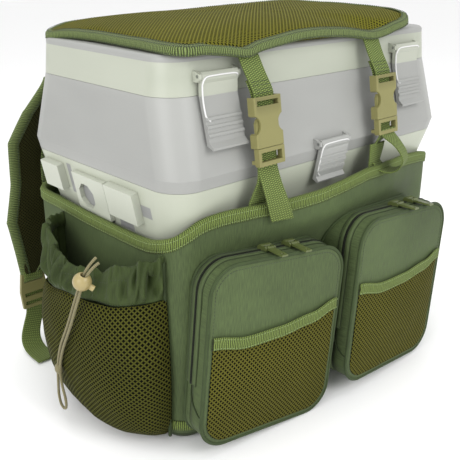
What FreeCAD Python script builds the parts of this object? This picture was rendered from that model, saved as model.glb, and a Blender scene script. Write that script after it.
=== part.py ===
"""Tackle backpack: a fishing seat box standing in a fabric rucksack, with a padded seat strapped on its lid.

Millimetres. X runs to the right as the front is looked at, +Y to the back, +Z up. The origin is the middle of the
flat underside, on the ground.
"""

import FreeCAD
import Part
import math
import os

import Sketcher
from FreeCAD import Placement, Rotation, Vector

SIZES = {
    # the seat box
    "split_width": 395, "split_depth": 219, "split_height": 341,
    "band_top": 370, "band_inset": 3, "cap_height": 6,
    "belly_width": 407, "belly_front": 127, "belly_back": 130, "belly_height": 272,
    "seam_width": 404, "seam_front": 124, "seam_back": 127, "seam_height": 260,
    "waist_width": 384, "waist_front": 110, "waist_back": 113, "waist_height": 209,
    "tub_width": 356, "tub_front": 100, "tub_back": 104, "tub_bottom": 3,
    "box_corner": 30, "box_wall": 3, "box_gap": 0.3, "leg_hole": 14,
    # hinges and latches of the box
    "hinge_y": 117, "hinge_z": 342, "pin_radius": 1.5, "pin_gap": 0.05, "knuckle_radius": 4,
    "latch_width": 42, "latch_length": 62, "latch_pivot": 358, "low_latch_length": 41, "low_pivot": 278,
    # the bag
    "bag_width": 404, "bag_front": 122, "bag_back": 132, "bag_bottom": 14, "bag_bend": 168, "bag_rim": 206,
    "rim_bow": 24, "bag_corner": 28, "fabric": 3, "base_inset": 12, "stand_off": 2,
    "binding_height": 12, "binding_thick": 1.5,
    "panel_width": 300, "panel_thick": 8.5, "panel_low": 20, "panel_top": 322,
    # the seat pad
    "pad_left": 188, "pad_right": 172, "pad_front": 122, "pad_back": 108, "pad_low": 376.6, "pad_thick": 20,
    "pad_corner": 26, "pad_binding": 6,
    # webbing and side-release buckles
    "web": 25, "web_thick": 1.5, "strap_tilt": 8, "strap_top_y": 125.5, "strap_top_z": 377,
    "socket_width": 34, "socket_thick": 9, "socket_length": 45, "socket_wall": 2.2, "socket_drop": 41,
    "plug_length": 16.5,
    # the front pockets
    "pocket_width": 162, "pocket_height": 184, "pocket_corner": 28, "door_depth": 20, "pocket_wall": 3,
    "zip_end": 60, "tape_height": 12,
    # the side pocket and its drawcord
    "cord_radius": 1.4, "strand_offset": 1.8, "ball_radius": 8.8, "ball_bore": 3.8,
    "button_radius": 2.8, "button_length": 5.4, "button_start": 7,
    # the shoulder straps
    "shoulder_thick": 9, "lock_thick": 4,
}

TOP_LATCH_X = (-142, 136)
LOW_LATCH_X = -2
EAR_THICKNESS = 2.8
STRAP_X = (-104, 72)
POCKETS = {
    "left": {"x": -113, "front": -161, "z": 99, "yaw": -6, "roll": 5.4, "sliders": (-6, 24)},
    "right": {"x": 70, "front": -174, "z": 102, "yaw": 1.7, "roll": 5.2, "sliders": (4, 34)},
}
BUTTON_WAY = Vector(0.6, -0.55, -0.58).normalize()

doc = FreeCAD.newDocument("TackleBackpack")
sheet = doc.addObject("Spreadsheet::Sheet", "Sizes")
for row, (alias, number) in enumerate(SIZES.items(), 1):
    sheet.set(f"A{row}", alias)
    sheet.set(f"B{row}", str(number))
    sheet.setAlias(f"B{row}", alias)
doc.recompute()

PIECES = []


class Size:
    """A length known both as a number and as a formula over the sheet's cells."""

    def __init__(self, value, text):
        self.value = value
        self.text = text

    def combined(self, other, sign, value):
        return Size(value, f"({self.text} {sign} {size_of(other).text})")

    def __add__(self, other):
        return self.combined(other, "+", self.value + size_of(other).value)

    def __sub__(self, other):
        return self.combined(other, "-", self.value - size_of(other).value)

    def __mul__(self, other):
        return self.combined(other, "*", self.value * size_of(other).value)

    def __truediv__(self, other):
        return self.combined(other, "/", self.value / size_of(other).value)

    def __radd__(self, other):
        return size_of(other) + self

    def __rsub__(self, other):
        return size_of(other) - self

    def __neg__(self):
        return Size(-self.value, f"(0 - {self.text})")


def size_of(number):
    return number if isinstance(number, Size) else Size(float(number), f"({float(number)})")


def cell(alias):
    return Size(float(SIZES[alias]), f"Sizes.{alias}")


def bind(thing, prop, size):
    """Sets a property, and ties it to the sheet."""
    size = size_of(size)
    thing.setExpression(prop, size.text)


# ---------------------------------------------------------------- sketches and features

def keep(thing, label, placement=None):
    """Marks an object as a finished sub-part."""
    thing.Label = label
    if placement is not None:
        thing.Placement = placement
    PIECES.append(thing)
    return thing


def new_body(label, placement=None):
    return keep(doc.addObject("PartDesign::Body", label), label, placement)


def new_sketch(body, plane, offset=0):
    """A sketch on one of the body's own planes. XZ sketches face -Y, so their offset is towards the front."""
    sketch = body.newObject("Sketcher::SketchObject", "Sketch")
    origin = [f for f in body.Origin.OriginFeatures if f.Role == f"{plane}_Plane"][0]
    sketch.AttachmentSupport = [(origin, "")]
    sketch.MapMode = "FlatFace"
    bind(sketch, "AttachmentOffset.Base.z", offset)
    return sketch


def datum(sketch, kind, *where, size):
    size = size_of(size)
    index = sketch.addConstraint(Sketcher.Constraint(kind, *where, size.value))
    sketch.setExpression(f"Constraints[{index}]", size.text)


def rounded_rect(sketch, left, right, low, high, radius):
    """A rectangle between two sides and two heights, with four equal round corners."""
    left, right, low, high, radius = (size_of(s) for s in (left, right, low, high, radius))
    x0, x1, y0, y1, r = left.value, right.value, low.value, high.value, radius.value
    corners = [(x1 - r, y0 + r, -90), (x1 - r, y1 - r, 0), (x0 + r, y1 - r, 90), (x0 + r, y0 + r, 180)]
    sides = [((x0 + r, y0), (x1 - r, y0)), ((x1, y0 + r), (x1, y1 - r)),
             ((x1 - r, y1), (x0 + r, y1)), ((x0, y1 - r), (x0, y0 + r))]
    lines = []
    arcs = []
    for (start, end), (cx, cy, angle) in zip(sides, corners):
        lines.append(sketch.addGeometry(Part.LineSegment(Vector(*start), Vector(*end))))
        circle = Part.Circle(Vector(cx, cy), Vector(0, 0, 1), r)
        turn = math.radians(angle)
        arcs.append(sketch.addGeometry(Part.ArcOfCircle(circle, turn, turn + math.pi / 2)))
    for i in range(4):
        sketch.addConstraint(Sketcher.Constraint("Tangent", lines[i], 2, arcs[i], 1))
        sketch.addConstraint(Sketcher.Constraint("Tangent", arcs[i], 2, lines[(i + 1) % 4], 1))
        level = "Horizontal" if i % 2 == 0 else "Vertical"
        sketch.addConstraint(Sketcher.Constraint(level, lines[i]))
        if i:
            sketch.addConstraint(Sketcher.Constraint("Equal", arcs[0], arcs[i]))
    datum(sketch, "Radius", arcs[0], size=radius)
    datum(sketch, "DistanceX", -1, 1, lines[3], 1, size=left)
    datum(sketch, "DistanceX", -1, 1, lines[1], 1, size=right)
    datum(sketch, "DistanceY", -1, 1, lines[0], 1, size=low)
    datum(sketch, "DistanceY", -1, 1, lines[2], 1, size=high)


def polygon(sketch, points):
    """A closed outline through the points, each one held by its two coordinates."""
    points = [(size_of(x), size_of(y)) for x, y in points]
    lines = []
    for i, (x, y) in enumerate(points):
        nx, ny = points[(i + 1) % len(points)]
        start = Vector(x.value, y.value)
        lines.append(sketch.addGeometry(Part.LineSegment(start, Vector(nx.value, ny.value))))
    for i, line in enumerate(lines):
        sketch.addConstraint(Sketcher.Constraint("Coincident", line, 2, lines[(i + 1) % len(lines)], 1))
        datum(sketch, "DistanceX", -1, 1, line, 1, size=points[i][0])
        datum(sketch, "DistanceY", -1, 1, line, 1, size=points[i][1])


def circle(sketch, x, y, radius):
    x, y, radius = size_of(x), size_of(y), size_of(radius)
    ring = sketch.addGeometry(Part.Circle(Vector(x.value, y.value), Vector(0, 0, 1), radius.value))
    datum(sketch, "Radius", ring, size=radius)
    datum(sketch, "DistanceX", -1, 1, ring, 3, size=x)
    datum(sketch, "DistanceY", -1, 1, ring, 3, size=y)


def pad(body, sketch, length):
    feature = body.newObject("PartDesign::Pad", "Pad")
    feature.Profile = sketch
    bind(feature, "Length", length)
    doc.recompute()
    return feature


def cut(body, sketch, length, reversed_way=False):
    """Cuts against the sketch's normal, or along it, and makes sure that something was cut."""
    before = body.Shape.Volume
    feature = body.newObject("PartDesign::Pocket", "Pocket")
    feature.Profile = sketch
    feature.Reversed = reversed_way
    bind(feature, "Length", length)
    doc.recompute()
    assert body.Shape.Volume < before - 0.01, f"{body.Label}: the pocket cuts nothing"
    return feature


def loft(body, sketches, subtract=False):
    kind = "PartDesign::SubtractiveLoft" if subtract else "PartDesign::AdditiveLoft"
    feature = body.newObject(kind, "Loft")
    feature.Profile = sketches[0]
    feature.Sections = sketches[1:]
    feature.Ruled = True
    doc.recompute()
    return feature


def round_edges(body, radius, chosen):
    """Rounds the edges that the function picks."""
    base = body.Tip
    names = [f"Edge{i}" for i, edge in enumerate(base.Shape.Edges, 1) if chosen(edge)]
    feature = body.newObject("PartDesign::Fillet", "Fillet")
    feature.Base = (base, names)
    bind(feature, "Radius", radius)
    doc.recompute()
    return feature


def along(axis):
    """Picks straight edges that run along an axis, within a few degrees."""
    def chosen(edge):
        if edge.Curve.TypeId != "Part::GeomLine":
            return False
        way = (edge.Vertexes[1].Point - edge.Vertexes[0].Point).normalize()
        return abs(way.dot(axis)) > 0.97
    return chosen


def at_height(z):
    """Picks edges that lie wholly at one height."""
    def chosen(edge):
        box = edge.BoundBox
        return abs(box.ZMin - z) < 0.01 and abs(box.ZMax - z) < 0.01
    return chosen


def plate(label, plane, offset, points, length, placement=None):
    """A flat piece: an outline on a plane, padded along the plane's normal."""
    body = new_body(label, placement)
    sketch = new_sketch(body, plane, offset)
    polygon(sketch, points)
    pad(body, sketch, length)
    return body


def shell(label, sections, inset, floor=None, placement=None):
    """A lofted tub: rounded rectangles at rising heights, hollowed by the same ones drawn in by the wall."""
    body = new_body(label, placement)
    outer = []
    for left, right, front, back, radius, height in sections:
        sketch = new_sketch(body, "XY", height)
        rounded_rect(sketch, left, right, front, back, radius)
        outer.append(sketch)
    loft(body, outer)
    inner = []
    for index, (left, right, front, back, radius, height) in enumerate(sections):
        if index == 0 and floor is not None:
            height = size_of(height) + floor
        sketch = new_sketch(body, "XY", height)
        corner = radius - inset if size_of(radius).value > size_of(inset).value + 2 else radius
        rounded_rect(sketch, left + inset, right - inset, front + inset, back - inset, corner)
        inner.append(sketch)
    loft(body, inner, subtract=True)
    return body


def ribbon(points, thickness):
    """The outline of a strip of one thickness whose middle line runs through the points."""
    half = thickness / 2
    left = []
    right = []
    for i, (x, y) in enumerate(points):
        before = points[max(i - 1, 0)]
        after = points[min(i + 1, len(points) - 1)]
        first = Vector(x - before[0], y - before[1]) if i else Vector(after[0] - x, after[1] - y)
        second = Vector(after[0] - x, after[1] - y) if i < len(points) - 1 else first
        first.normalize()
        second.normalize()
        normal = Vector(-first.y - second.y, first.x + second.x).normalize()
        reach = half / max(0.5, normal.dot(Vector(-first.y, first.x)))
        left.append((x + normal.x * reach, y + normal.y * reach))
        right.append((x - normal.x * reach, y - normal.y * reach))
    return left + right[::-1]


def rod(label, ends, radius):
    """One node of round pins along X, each given by its middle (x, y, z) and length."""
    pins = []
    for x, y, z, length in ends:
        pin = doc.addObject("Part::Cylinder", "Pin")
        bind(pin, "Radius", radius)
        bind(pin, "Height", length)
        pin.Placement = Placement(Vector(x - length / 2, y, z), Rotation(Vector(0, 1, 0), 90))
        pins.append(pin)
    if len(pins) == 1:
        return keep(pins[0], label)
    group = doc.addObject("Part::Compound", label)
    group.Links = pins
    return keep(group, label)


# ---------------------------------------------------------------- the seat box

def ring_section(width, front, back, height, inset=0):
    half = cell(width) / 2 - inset
    return (-half, half, -cell(front) + inset, cell(back) - inset, cell("box_corner") - inset, height)


def make_box_base():
    """The lower tub, which stands in the bag and opens towards the tray."""
    body = shell("box_base", [
        ring_section("tub_width", "tub_front", "tub_back", cell("tub_bottom")),
        ring_section("waist_width", "waist_front", "waist_back", cell("waist_height")),
        ring_section("seam_width", "seam_front", "seam_back", cell("seam_height")),
    ], cell("box_wall"), floor=cell("box_wall"))
    return body


def make_box_tray():
    """The upper compartment: it widens downwards from the lid's split line and turns in above the seam."""
    half = cell("split_depth") / 2
    top = (-cell("split_width") / 2, cell("split_width") / 2, -half, half, cell("box_corner"), cell("split_height"))
    low = ring_section("seam_width", "seam_front", "seam_back", cell("seam_height") + cell("box_gap"))
    belly = ring_section("belly_width", "belly_front", "belly_back", cell("belly_height"))
    body = shell("box_tray", [low, belly, top], cell("box_wall"), floor=cell("box_wall"))
    # the two pairs of hinge ears on the rear wall
    for side in (-1, 1):
        for inner in (-1, 1):
            sketch = new_sketch(body, "YZ", side * 100 + inner * 17 - 4)
            y, z, r = cell("hinge_y"), cell("hinge_z"), cell("knuckle_radius")
            polygon(sketch, [(half + 1.5, z - 11), (y - 1, z - 11), (y + r, z - r), (y + r, z + r),
                             (y - r, z + r), (y - r, z - 2), (half - 1.5, z - 2)])
            pad(body, sketch, 8)
            hole = new_sketch(body, "YZ", side * 100 + inner * 17 + 5)
            circle(hole, y, z, cell("pin_radius"))
            cut(body, hole, 10)
    for side in (-1, 1):
        latch_ear(body, LOW_LATCH_X + ear_offset(side), -SIZES["belly_front"], SIZES["low_pivot"])
    return body


def make_lid_band():
    """The lid's pale side band, with the rear knuckles and the front ears that the latches hang from."""
    half_w, half_d = cell("split_width") / 2, cell("split_depth") / 2
    low = (-half_w, half_w, -half_d, half_d, cell("box_corner"), cell("split_height") + cell("box_gap"))
    inset = cell("band_inset")
    top = (-half_w + inset, half_w - inset, -half_d + inset, half_d - inset, cell("box_corner") - inset,
           cell("band_top"))
    body = shell("lid_band", [low, top], cell("box_wall"))
    y, z, r = cell("hinge_y"), cell("hinge_z"), cell("knuckle_radius")
    for side in (-1, 1):
        sketch = new_sketch(body, "YZ", side * 100 - 12.5)
        polygon(sketch, [(y - r, z - 1), (y - r * 0.4, z - r), (y + r * 0.4, z - r), (y + r, z - r * 0.4),
                         (y + r, z + r * 0.4), (y + r * 0.4, z + r), (half_d - 1.5, z + 14), (half_d - 1.5, z + 4),
                         (y - r, z + 3)])
        pad(body, sketch, 25)
        hole = new_sketch(body, "YZ", side * 100 + 13)
        circle(hole, y, z, cell("pin_radius") + cell("pin_gap"))
        cut(body, hole, 26)
    for middle in TOP_LATCH_X:
        for side in (-1, 1):
            latch_ear(body, middle + ear_offset(side), -SIZES["split_depth"] / 2, SIZES["latch_pivot"])
    return body


def ear_offset(side):
    """Where an ear starts, from the latch's middle: 0.3 clear of the latch."""
    return side * (SIZES["latch_width"] / 2 + 0.3 + EAR_THICKNESS / 2) - EAR_THICKNESS / 2


def latch_ear(body, start, wall_y, z):
    """One ear that holds an end of a latch pin, on the wall at wall_y."""
    sketch = new_sketch(body, "YZ", start)
    polygon(sketch, [(wall_y + 2, z - 5), (wall_y - 4, z - 5), (wall_y - 7, z - 2), (wall_y - 7, z + 2),
                     (wall_y + 3, z + 5)])
    pad(body, sketch, EAR_THICKNESS)
    hole = new_sketch(body, "YZ", start + EAR_THICKNESS + 0.5)
    circle(hole, wall_y - 4, z, cell("pin_radius"))
    cut(body, hole, EAR_THICKNESS + 1)


def make_lid_cap():
    """The grey cap in the top of the band."""
    body = new_body("lid_cap")
    inset = cell("band_inset")
    half_w, half_d = cell("split_width") / 2 - inset, cell("split_depth") / 2 - inset
    sketch = new_sketch(body, "XY", cell("band_top"))
    rounded_rect(sketch, -half_w, half_w, -half_d, half_d, cell("box_corner") - inset)
    pad(body, sketch, cell("cap_height"))
    round_edges(body, 4, at_height(SIZES["band_top"] + SIZES["cap_height"]))
    rim = new_sketch(body, "XY", cell("band_top") - 5)
    edge = cell("box_wall") + 1
    rounded_rect(rim, -half_w + edge, half_w - edge, -half_d + edge, half_d - edge, cell("box_corner") - 8)
    pad(body, rim, 5)
    hollow = new_sketch(body, "XY", cell("band_top") - 5)
    edge = edge + 3
    rounded_rect(hollow, -half_w + edge, half_w - edge, -half_d + edge, half_d - edge, cell("box_corner") - 11)
    cut(body, hollow, 8, reversed_way=True)
    return body


def make_latch(label, middle, wall_y, pivot_z, bend, slope, length):
    """A latch that hangs from its pin: round eye, ribbed lever that follows the wall's slope from bend down, and a
    turned-out grip."""
    body = new_body(label)
    reach = 3.4
    outline = [(-reach, -1.4), (-reach, 1.4), (-1.4, reach), (3, reach), (6, 2), (bend, 2)]
    ribs = 3 if length > 40 else 2
    for rib in range(ribs):
        start = length - 7 * (ribs + 1) + 7 * rib
        outline += [(start, 2), (start + 0.6, 3.2), (start + 3, 3.2), (start + 3.6, 2)]
    outline += [(length - 6, 2), (length - 2, 6), (length, 5.4), (length - 3, -2), (bend, -2), (3, -2),
                (1.4, -reach), (-1.4, -reach)]
    pivot_y = wall_y - 4
    points = [(pivot_y - out - max(0, down - bend) * slope, pivot_z - down) for down, out in outline]
    half = SIZES["latch_width"] / 2
    sketch = new_sketch(body, "YZ", middle - half)
    polygon(sketch, points)
    pad(body, sketch, cell("latch_width"))
    hole = new_sketch(body, "YZ", middle + half + 1)
    circle(hole, pivot_y, pivot_z, cell("pin_radius") + cell("pin_gap"))
    cut(body, hole, cell("latch_width") + 2)
    return body


def make_latches():
    slope = (SIZES["belly_front"] - SIZES["split_depth"] / 2) / (SIZES["split_height"] - SIZES["belly_height"])
    wall, low_wall = -SIZES["split_depth"] / 2, -SIZES["belly_front"]
    pivot, low_pivot = SIZES["latch_pivot"], SIZES["low_pivot"]
    for name, x in zip(("latch_left", "latch_right"), TOP_LATCH_X):
        make_latch(name, x, wall, pivot, pivot - SIZES["split_height"], slope, SIZES["latch_length"])
    make_latch("latch_lower", LOW_LATCH_X, low_wall, low_pivot, 8, -0.2, SIZES["low_latch_length"])
    pin_length = SIZES["latch_width"] + 0.6 + 2 * EAR_THICKNESS
    rod("latch_pins_lid", [(x, wall - 4, pivot, pin_length) for x in TOP_LATCH_X], cell("pin_radius"))
    rod("latch_pin_tray", [(LOW_LATCH_X, low_wall - 4, low_pivot, pin_length)], cell("pin_radius"))
    hinge = [(side * 100, SIZES["hinge_y"], SIZES["hinge_z"], 42) for side in (-1, 1)]
    rod("lid_hinge_pins", hinge, cell("pin_radius"))


def make_side_fittings():
    """On the left end of the base: a plate with an eight-sided socket, and a boxed lug each side of it."""
    lean = math.degrees(math.atan2(SIZES["seam_width"] - SIZES["waist_width"],
                                   2 * (SIZES["seam_height"] - SIZES["waist_height"])))
    wall = Placement(Vector(-SIZES["waist_width"] / 2, 0, SIZES["waist_height"]), Rotation(Vector(0, 1, 0), -lean))
    plate("leg_socket", "YZ", -5, [(-16, 0), (40, 0), (40, 42), (-16, 42)], 4.8, wall)
    socket = PIECES[-1]
    hole = new_sketch(socket, "YZ", 0.5)
    eighth, radius = math.pi / 4, SIZES["leg_hole"]
    polygon(hole, [(20 + radius * math.cos(eighth * (i + 0.5)), 19 + radius * math.sin(eighth * (i + 0.5)))
                   for i in range(8)])
    cut(socket, hole, 6)
    lugs = doc.addObject("Part::Compound", "side_lugs")
    lugs.Links = [plate("lug", "YZ", -8, [(low, bottom), (high, bottom), (high, 44), (low, 44)], 7.8, wall)
                  for low, high, bottom in ((62, 96, 16), (-68, -22, 12))]
    del PIECES[-2:]
    keep(lugs, "side_lugs")


# ---------------------------------------------------------------- the bag

def bag_outline(inset, bow):
    """The bag's plan, counter-clockwise: three straight sides, round corners and a front that bows out."""
    half = cell("bag_width") / 2 - inset
    front = -cell("bag_front") + inset
    back = cell("bag_back") - inset
    r = cell("bag_corner") - inset
    points = []
    for i in range(9):
        share = -0.9 + 0.225 * i
        points.append(((half - r) * share, front - bow * math.cos(share * math.pi / 2)))
    corners = [(half - r, front + r, -90), (half - r, back - r, 0), (-half + r, back - r, 90),
               (-half + r, front + r, 180)]
    for x, y, start in corners:
        for step in range(4):
            turn = math.radians(start + 30 * step)
            points.append((x + r * math.cos(turn), y + r * math.sin(turn)))
    return points


def bag_ring(label, levels, wall):
    """A fabric wall through several levels: each has an inset, a bow and a height."""
    body = new_body(label)
    for extra, subtract in ((0, False), (wall, True)):
        sketches = []
        for inset, bow, height in levels:
            sketch = new_sketch(body, "XY", height)
            polygon(sketch, bag_outline(size_of(inset) + extra, size_of(bow)))
            sketches.append(sketch)
        loft(body, sketches, subtract)
    return body


def bag_form(clearance):
    """The bag's outside as one solid, a clearance larger all round: what is sewn to the bag is cut to fit it."""
    form = doc.addObject("PartDesign::Body", "BagForm")
    sketches = []
    for bow, height in ((0, cell("bag_bottom")), (0, cell("bag_bend")), (cell("rim_bow"), cell("bag_rim"))):
        sketch = new_sketch(form, "XY", height)
        polygon(sketch, bag_outline(size_of(-clearance), size_of(bow)))
        sketches.append(sketch)
    loft(form, sketches)
    return form


def make_bag():
    rim, bow = cell("bag_rim"), cell("rim_bow")
    bag_ring("bag_sleeve", [(0, 0, cell("bag_bottom")), (0, 0, cell("bag_bend")), (0, bow, rim)], cell("fabric"))
    top = rim + cell("binding_height")
    bag_ring("rim_binding", [(-cell("binding_thick"), bow, rim), (-cell("binding_thick"), bow, top)],
             cell("binding_thick") + cell("fabric"))
    low = cell("bag_bottom")
    bag_ring("base_binding", [(-cell("binding_thick"), 0, low), (-cell("binding_thick"), 0, low + 10)],
             cell("binding_thick") - 0.05)
    half, inset = cell("bag_width") / 2, cell("base_inset")
    front, back = -cell("bag_front"), cell("bag_back")
    shell("base_pan", [
        (-half + inset, half - inset, front + inset, back - inset, cell("bag_corner") - 4, 0),
        (-half, half, front, back, cell("bag_corner"), cell("bag_bottom")),
    ], cell("fabric"), floor=cell("fabric"))
    panel = new_body("back_panel")
    sketch = new_sketch(panel, "XZ", -(cell("bag_back") + cell("binding_thick") + 0.3 + cell("panel_thick")))
    half = cell("panel_width") / 2
    rounded_rect(sketch, -half, half, cell("panel_low"), cell("panel_top"), 30)
    pad(panel, sketch, cell("panel_thick"))
    round_edges(panel, 3, lambda edge: edge.BoundBox.YLength < 0.01 and edge.BoundBox.YMax > SIZES["bag_back"] + 5)


# ---------------------------------------------------------------- the seat pad and the two front straps

def make_seat_pad():
    low, thick = cell("pad_low"), cell("pad_thick")
    left, right, front, back = -cell("pad_left"), cell("pad_right"), -cell("pad_front"), cell("pad_back")
    body = new_body("seat_pad")
    sketch = new_sketch(body, "XY", low)
    rounded_rect(sketch, left, right, front, back, cell("pad_corner"))
    pad(body, sketch, thick)
    round_edges(body, 7, at_height(SIZES["pad_low"] + SIZES["pad_thick"]))
    binding = new_body("seat_pad_binding")
    edge = cell("binding_thick")
    sketch = new_sketch(binding, "XY", low)
    rounded_rect(sketch, left - edge, right + edge, front - edge, back + edge, cell("pad_corner") + edge)
    pad(binding, sketch, cell("pad_binding"))
    hollow = new_sketch(binding, "XY", low)
    rounded_rect(hollow, left, right, front, back, cell("pad_corner"))
    cut(binding, hollow, cell("pad_binding"), reversed_way=True)
    y = SIZES["split_depth"] / 2
    plate("pad_flap", "YZ", -70, [(y + 0.8, 346), (y + 2.8, 346), (y + 2.8, 375.5), (y + 0.8, 375.5)], 140)


def make_strap(side, x):
    """One front strap: webbing and buckle socket that hang from the pad, and the plug that enters the socket."""
    hang = Placement(Vector(x, -SIZES["strap_top_y"], SIZES["strap_top_z"]),
                     Rotation(Vector(1, 0, 0), -SIZES["strap_tilt"]))
    half_web, half_thick = cell("web") / 2, cell("web_thick") / 2
    top = -SIZES["socket_drop"]
    mouth = top - SIZES["socket_length"]
    plate(f"upper_strap_{side}", "YZ", -half_web,
          [(-half_thick, top - 11), (half_thick, top - 11), (half_thick, -1), (-half_thick, -1)],
          cell("web"), hang)

    socket = new_body(f"buckle_socket_{side}", hang)
    half, wall = cell("socket_width") / 2, cell("socket_wall")
    front = size_of(-5)
    channel = new_sketch(socket, "XY", mouth)
    polygon(channel, [(-half, front), (half, front), (half, front + cell("socket_thick")),
                      (half - wall, front + cell("socket_thick")), (half - wall, front + wall),
                      (-half + wall, front + wall), (-half + wall, front + cell("socket_thick")),
                      (-half, front + cell("socket_thick"))])
    pad(socket, channel, cell("socket_length"))
    slot = new_sketch(socket, "XZ", 6)
    polygon(slot, [(-13, top - 8), (13, top - 8), (13, top - 3.2), (-13, top - 3.2)])
    cut(socket, slot, 5)
    for hand in (-1, 1):
        window = new_sketch(socket, "XZ", 6)
        circle(window, hand * 20, top - 24.5, 9)
        cut(socket, window, 20)
    round_edges(socket, 1.2, lambda edge: along(Vector(0, 0, 1))(edge) and edge.BoundBox.YMax < front.value + 0.1)

    plug = new_body(f"buckle_plug_{side}", hang)
    low = mouth - SIZES["plug_length"] - 0.3
    block = new_sketch(plug, "XZ", -1)
    polygon(block, [(-16, low), (16, low), (16.5, low + 3), (16.5, mouth - 0.5), (-16.5, mouth - 0.5),
                    (-16.5, low + 3)])
    pad(plug, block, 6)
    arms = new_sketch(plug, "XZ", -1)
    polygon(arms, [(-14.2, mouth - 2), (14.2, mouth - 2), (14.2, mouth + 22), (12, mouth + 26), (9.5, mouth + 26),
                   (9.5, mouth + 4), (4, mouth + 4), (3, mouth + 24), (-3, mouth + 24), (-4, mouth + 4),
                   (-9.5, mouth + 4), (-9.5, mouth + 26), (-12, mouth + 26), (-14.2, mouth + 22)])
    pad(plug, arms, 3.2)
    window = new_sketch(plug, "XZ", 5.5)
    polygon(window, [(-13, low + 4), (13, low + 4), (13, low + 12.5), (-13, low + 12.5)])
    cut(plug, window, 7)
    bridge = new_sketch(plug, "XY", low + 2)
    polygon(bridge, [(-16, 0.5), (-13.3, 0.5), (-13.3, 3.4), (13.3, 3.4), (13.3, 0.5), (16, 0.5), (16, 5.4),
                     (-16, 5.4)])
    pad(plug, bridge, 3.5)
    return hang, mouth


def make_lower_strap(side, x, hang, mouth, loose_end):
    """The webbing from the bag's rim that the plug slides on: straight behind the plug, then loose_end."""
    straight = [hang.multVec(Vector(0, 2.25, z)) for z in (mouth - 2, mouth - 49)]
    points = [(p.y, p.z) for p in straight] + loose_end
    plate(f"lower_strap_{side}", "YZ", x - SIZES["web"] / 2, ribbon(points, SIZES["web_thick"]), cell("web"))


def rim_front(x):
    """Where a strap of webbing at x lies on the bowed rim: just clear of it at the strap's inner edge."""
    share = (abs(x) - SIZES["web"] / 2) / (SIZES["bag_width"] / 2 - SIZES["bag_corner"])
    bow = SIZES["rim_bow"] * math.cos(share * math.pi / 2)
    return -SIZES["bag_front"] - bow - SIZES["binding_thick"] - 1.1


def make_straps():
    hang, mouth = make_strap("left", STRAP_X[0])
    front = rim_front(STRAP_X[0])
    make_lower_strap("left", STRAP_X[0], hang, mouth, [(front - 0.2, 224), (front, 215), (front, 206)])
    hang, mouth = make_strap("right", STRAP_X[1])
    make_lower_strap("right", STRAP_X[1], hang, mouth, [
        (-142.5, 234), (-148, 228.5), (-155, 228), (-161, 233), (-163.5, 241), (-162.5, 250), (-159, 258)])
    front = rim_front(STRAP_X[1])
    stub = new_sketch(PIECES[-1], "YZ", STRAP_X[1] - SIZES["web"] / 2)
    polygon(stub, ribbon([(-149.5, 228.3), (front - 0.4, 220), (front, 206)], SIZES["web_thick"]))
    pad(PIECES[-1], stub, cell("web"))


# ---------------------------------------------------------------- the two front pockets

def pocket_rear(place, across):
    """How far back a pocket reaches at one of its sides, to stand just off the bag's front."""
    yaw, front = math.radians(place["yaw"]), place["front"]
    wall = -SIZES["bag_front"] - SIZES["stand_off"]
    return (wall - front - math.sin(yaw) * across) / math.cos(yaw) - 3.5


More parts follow.
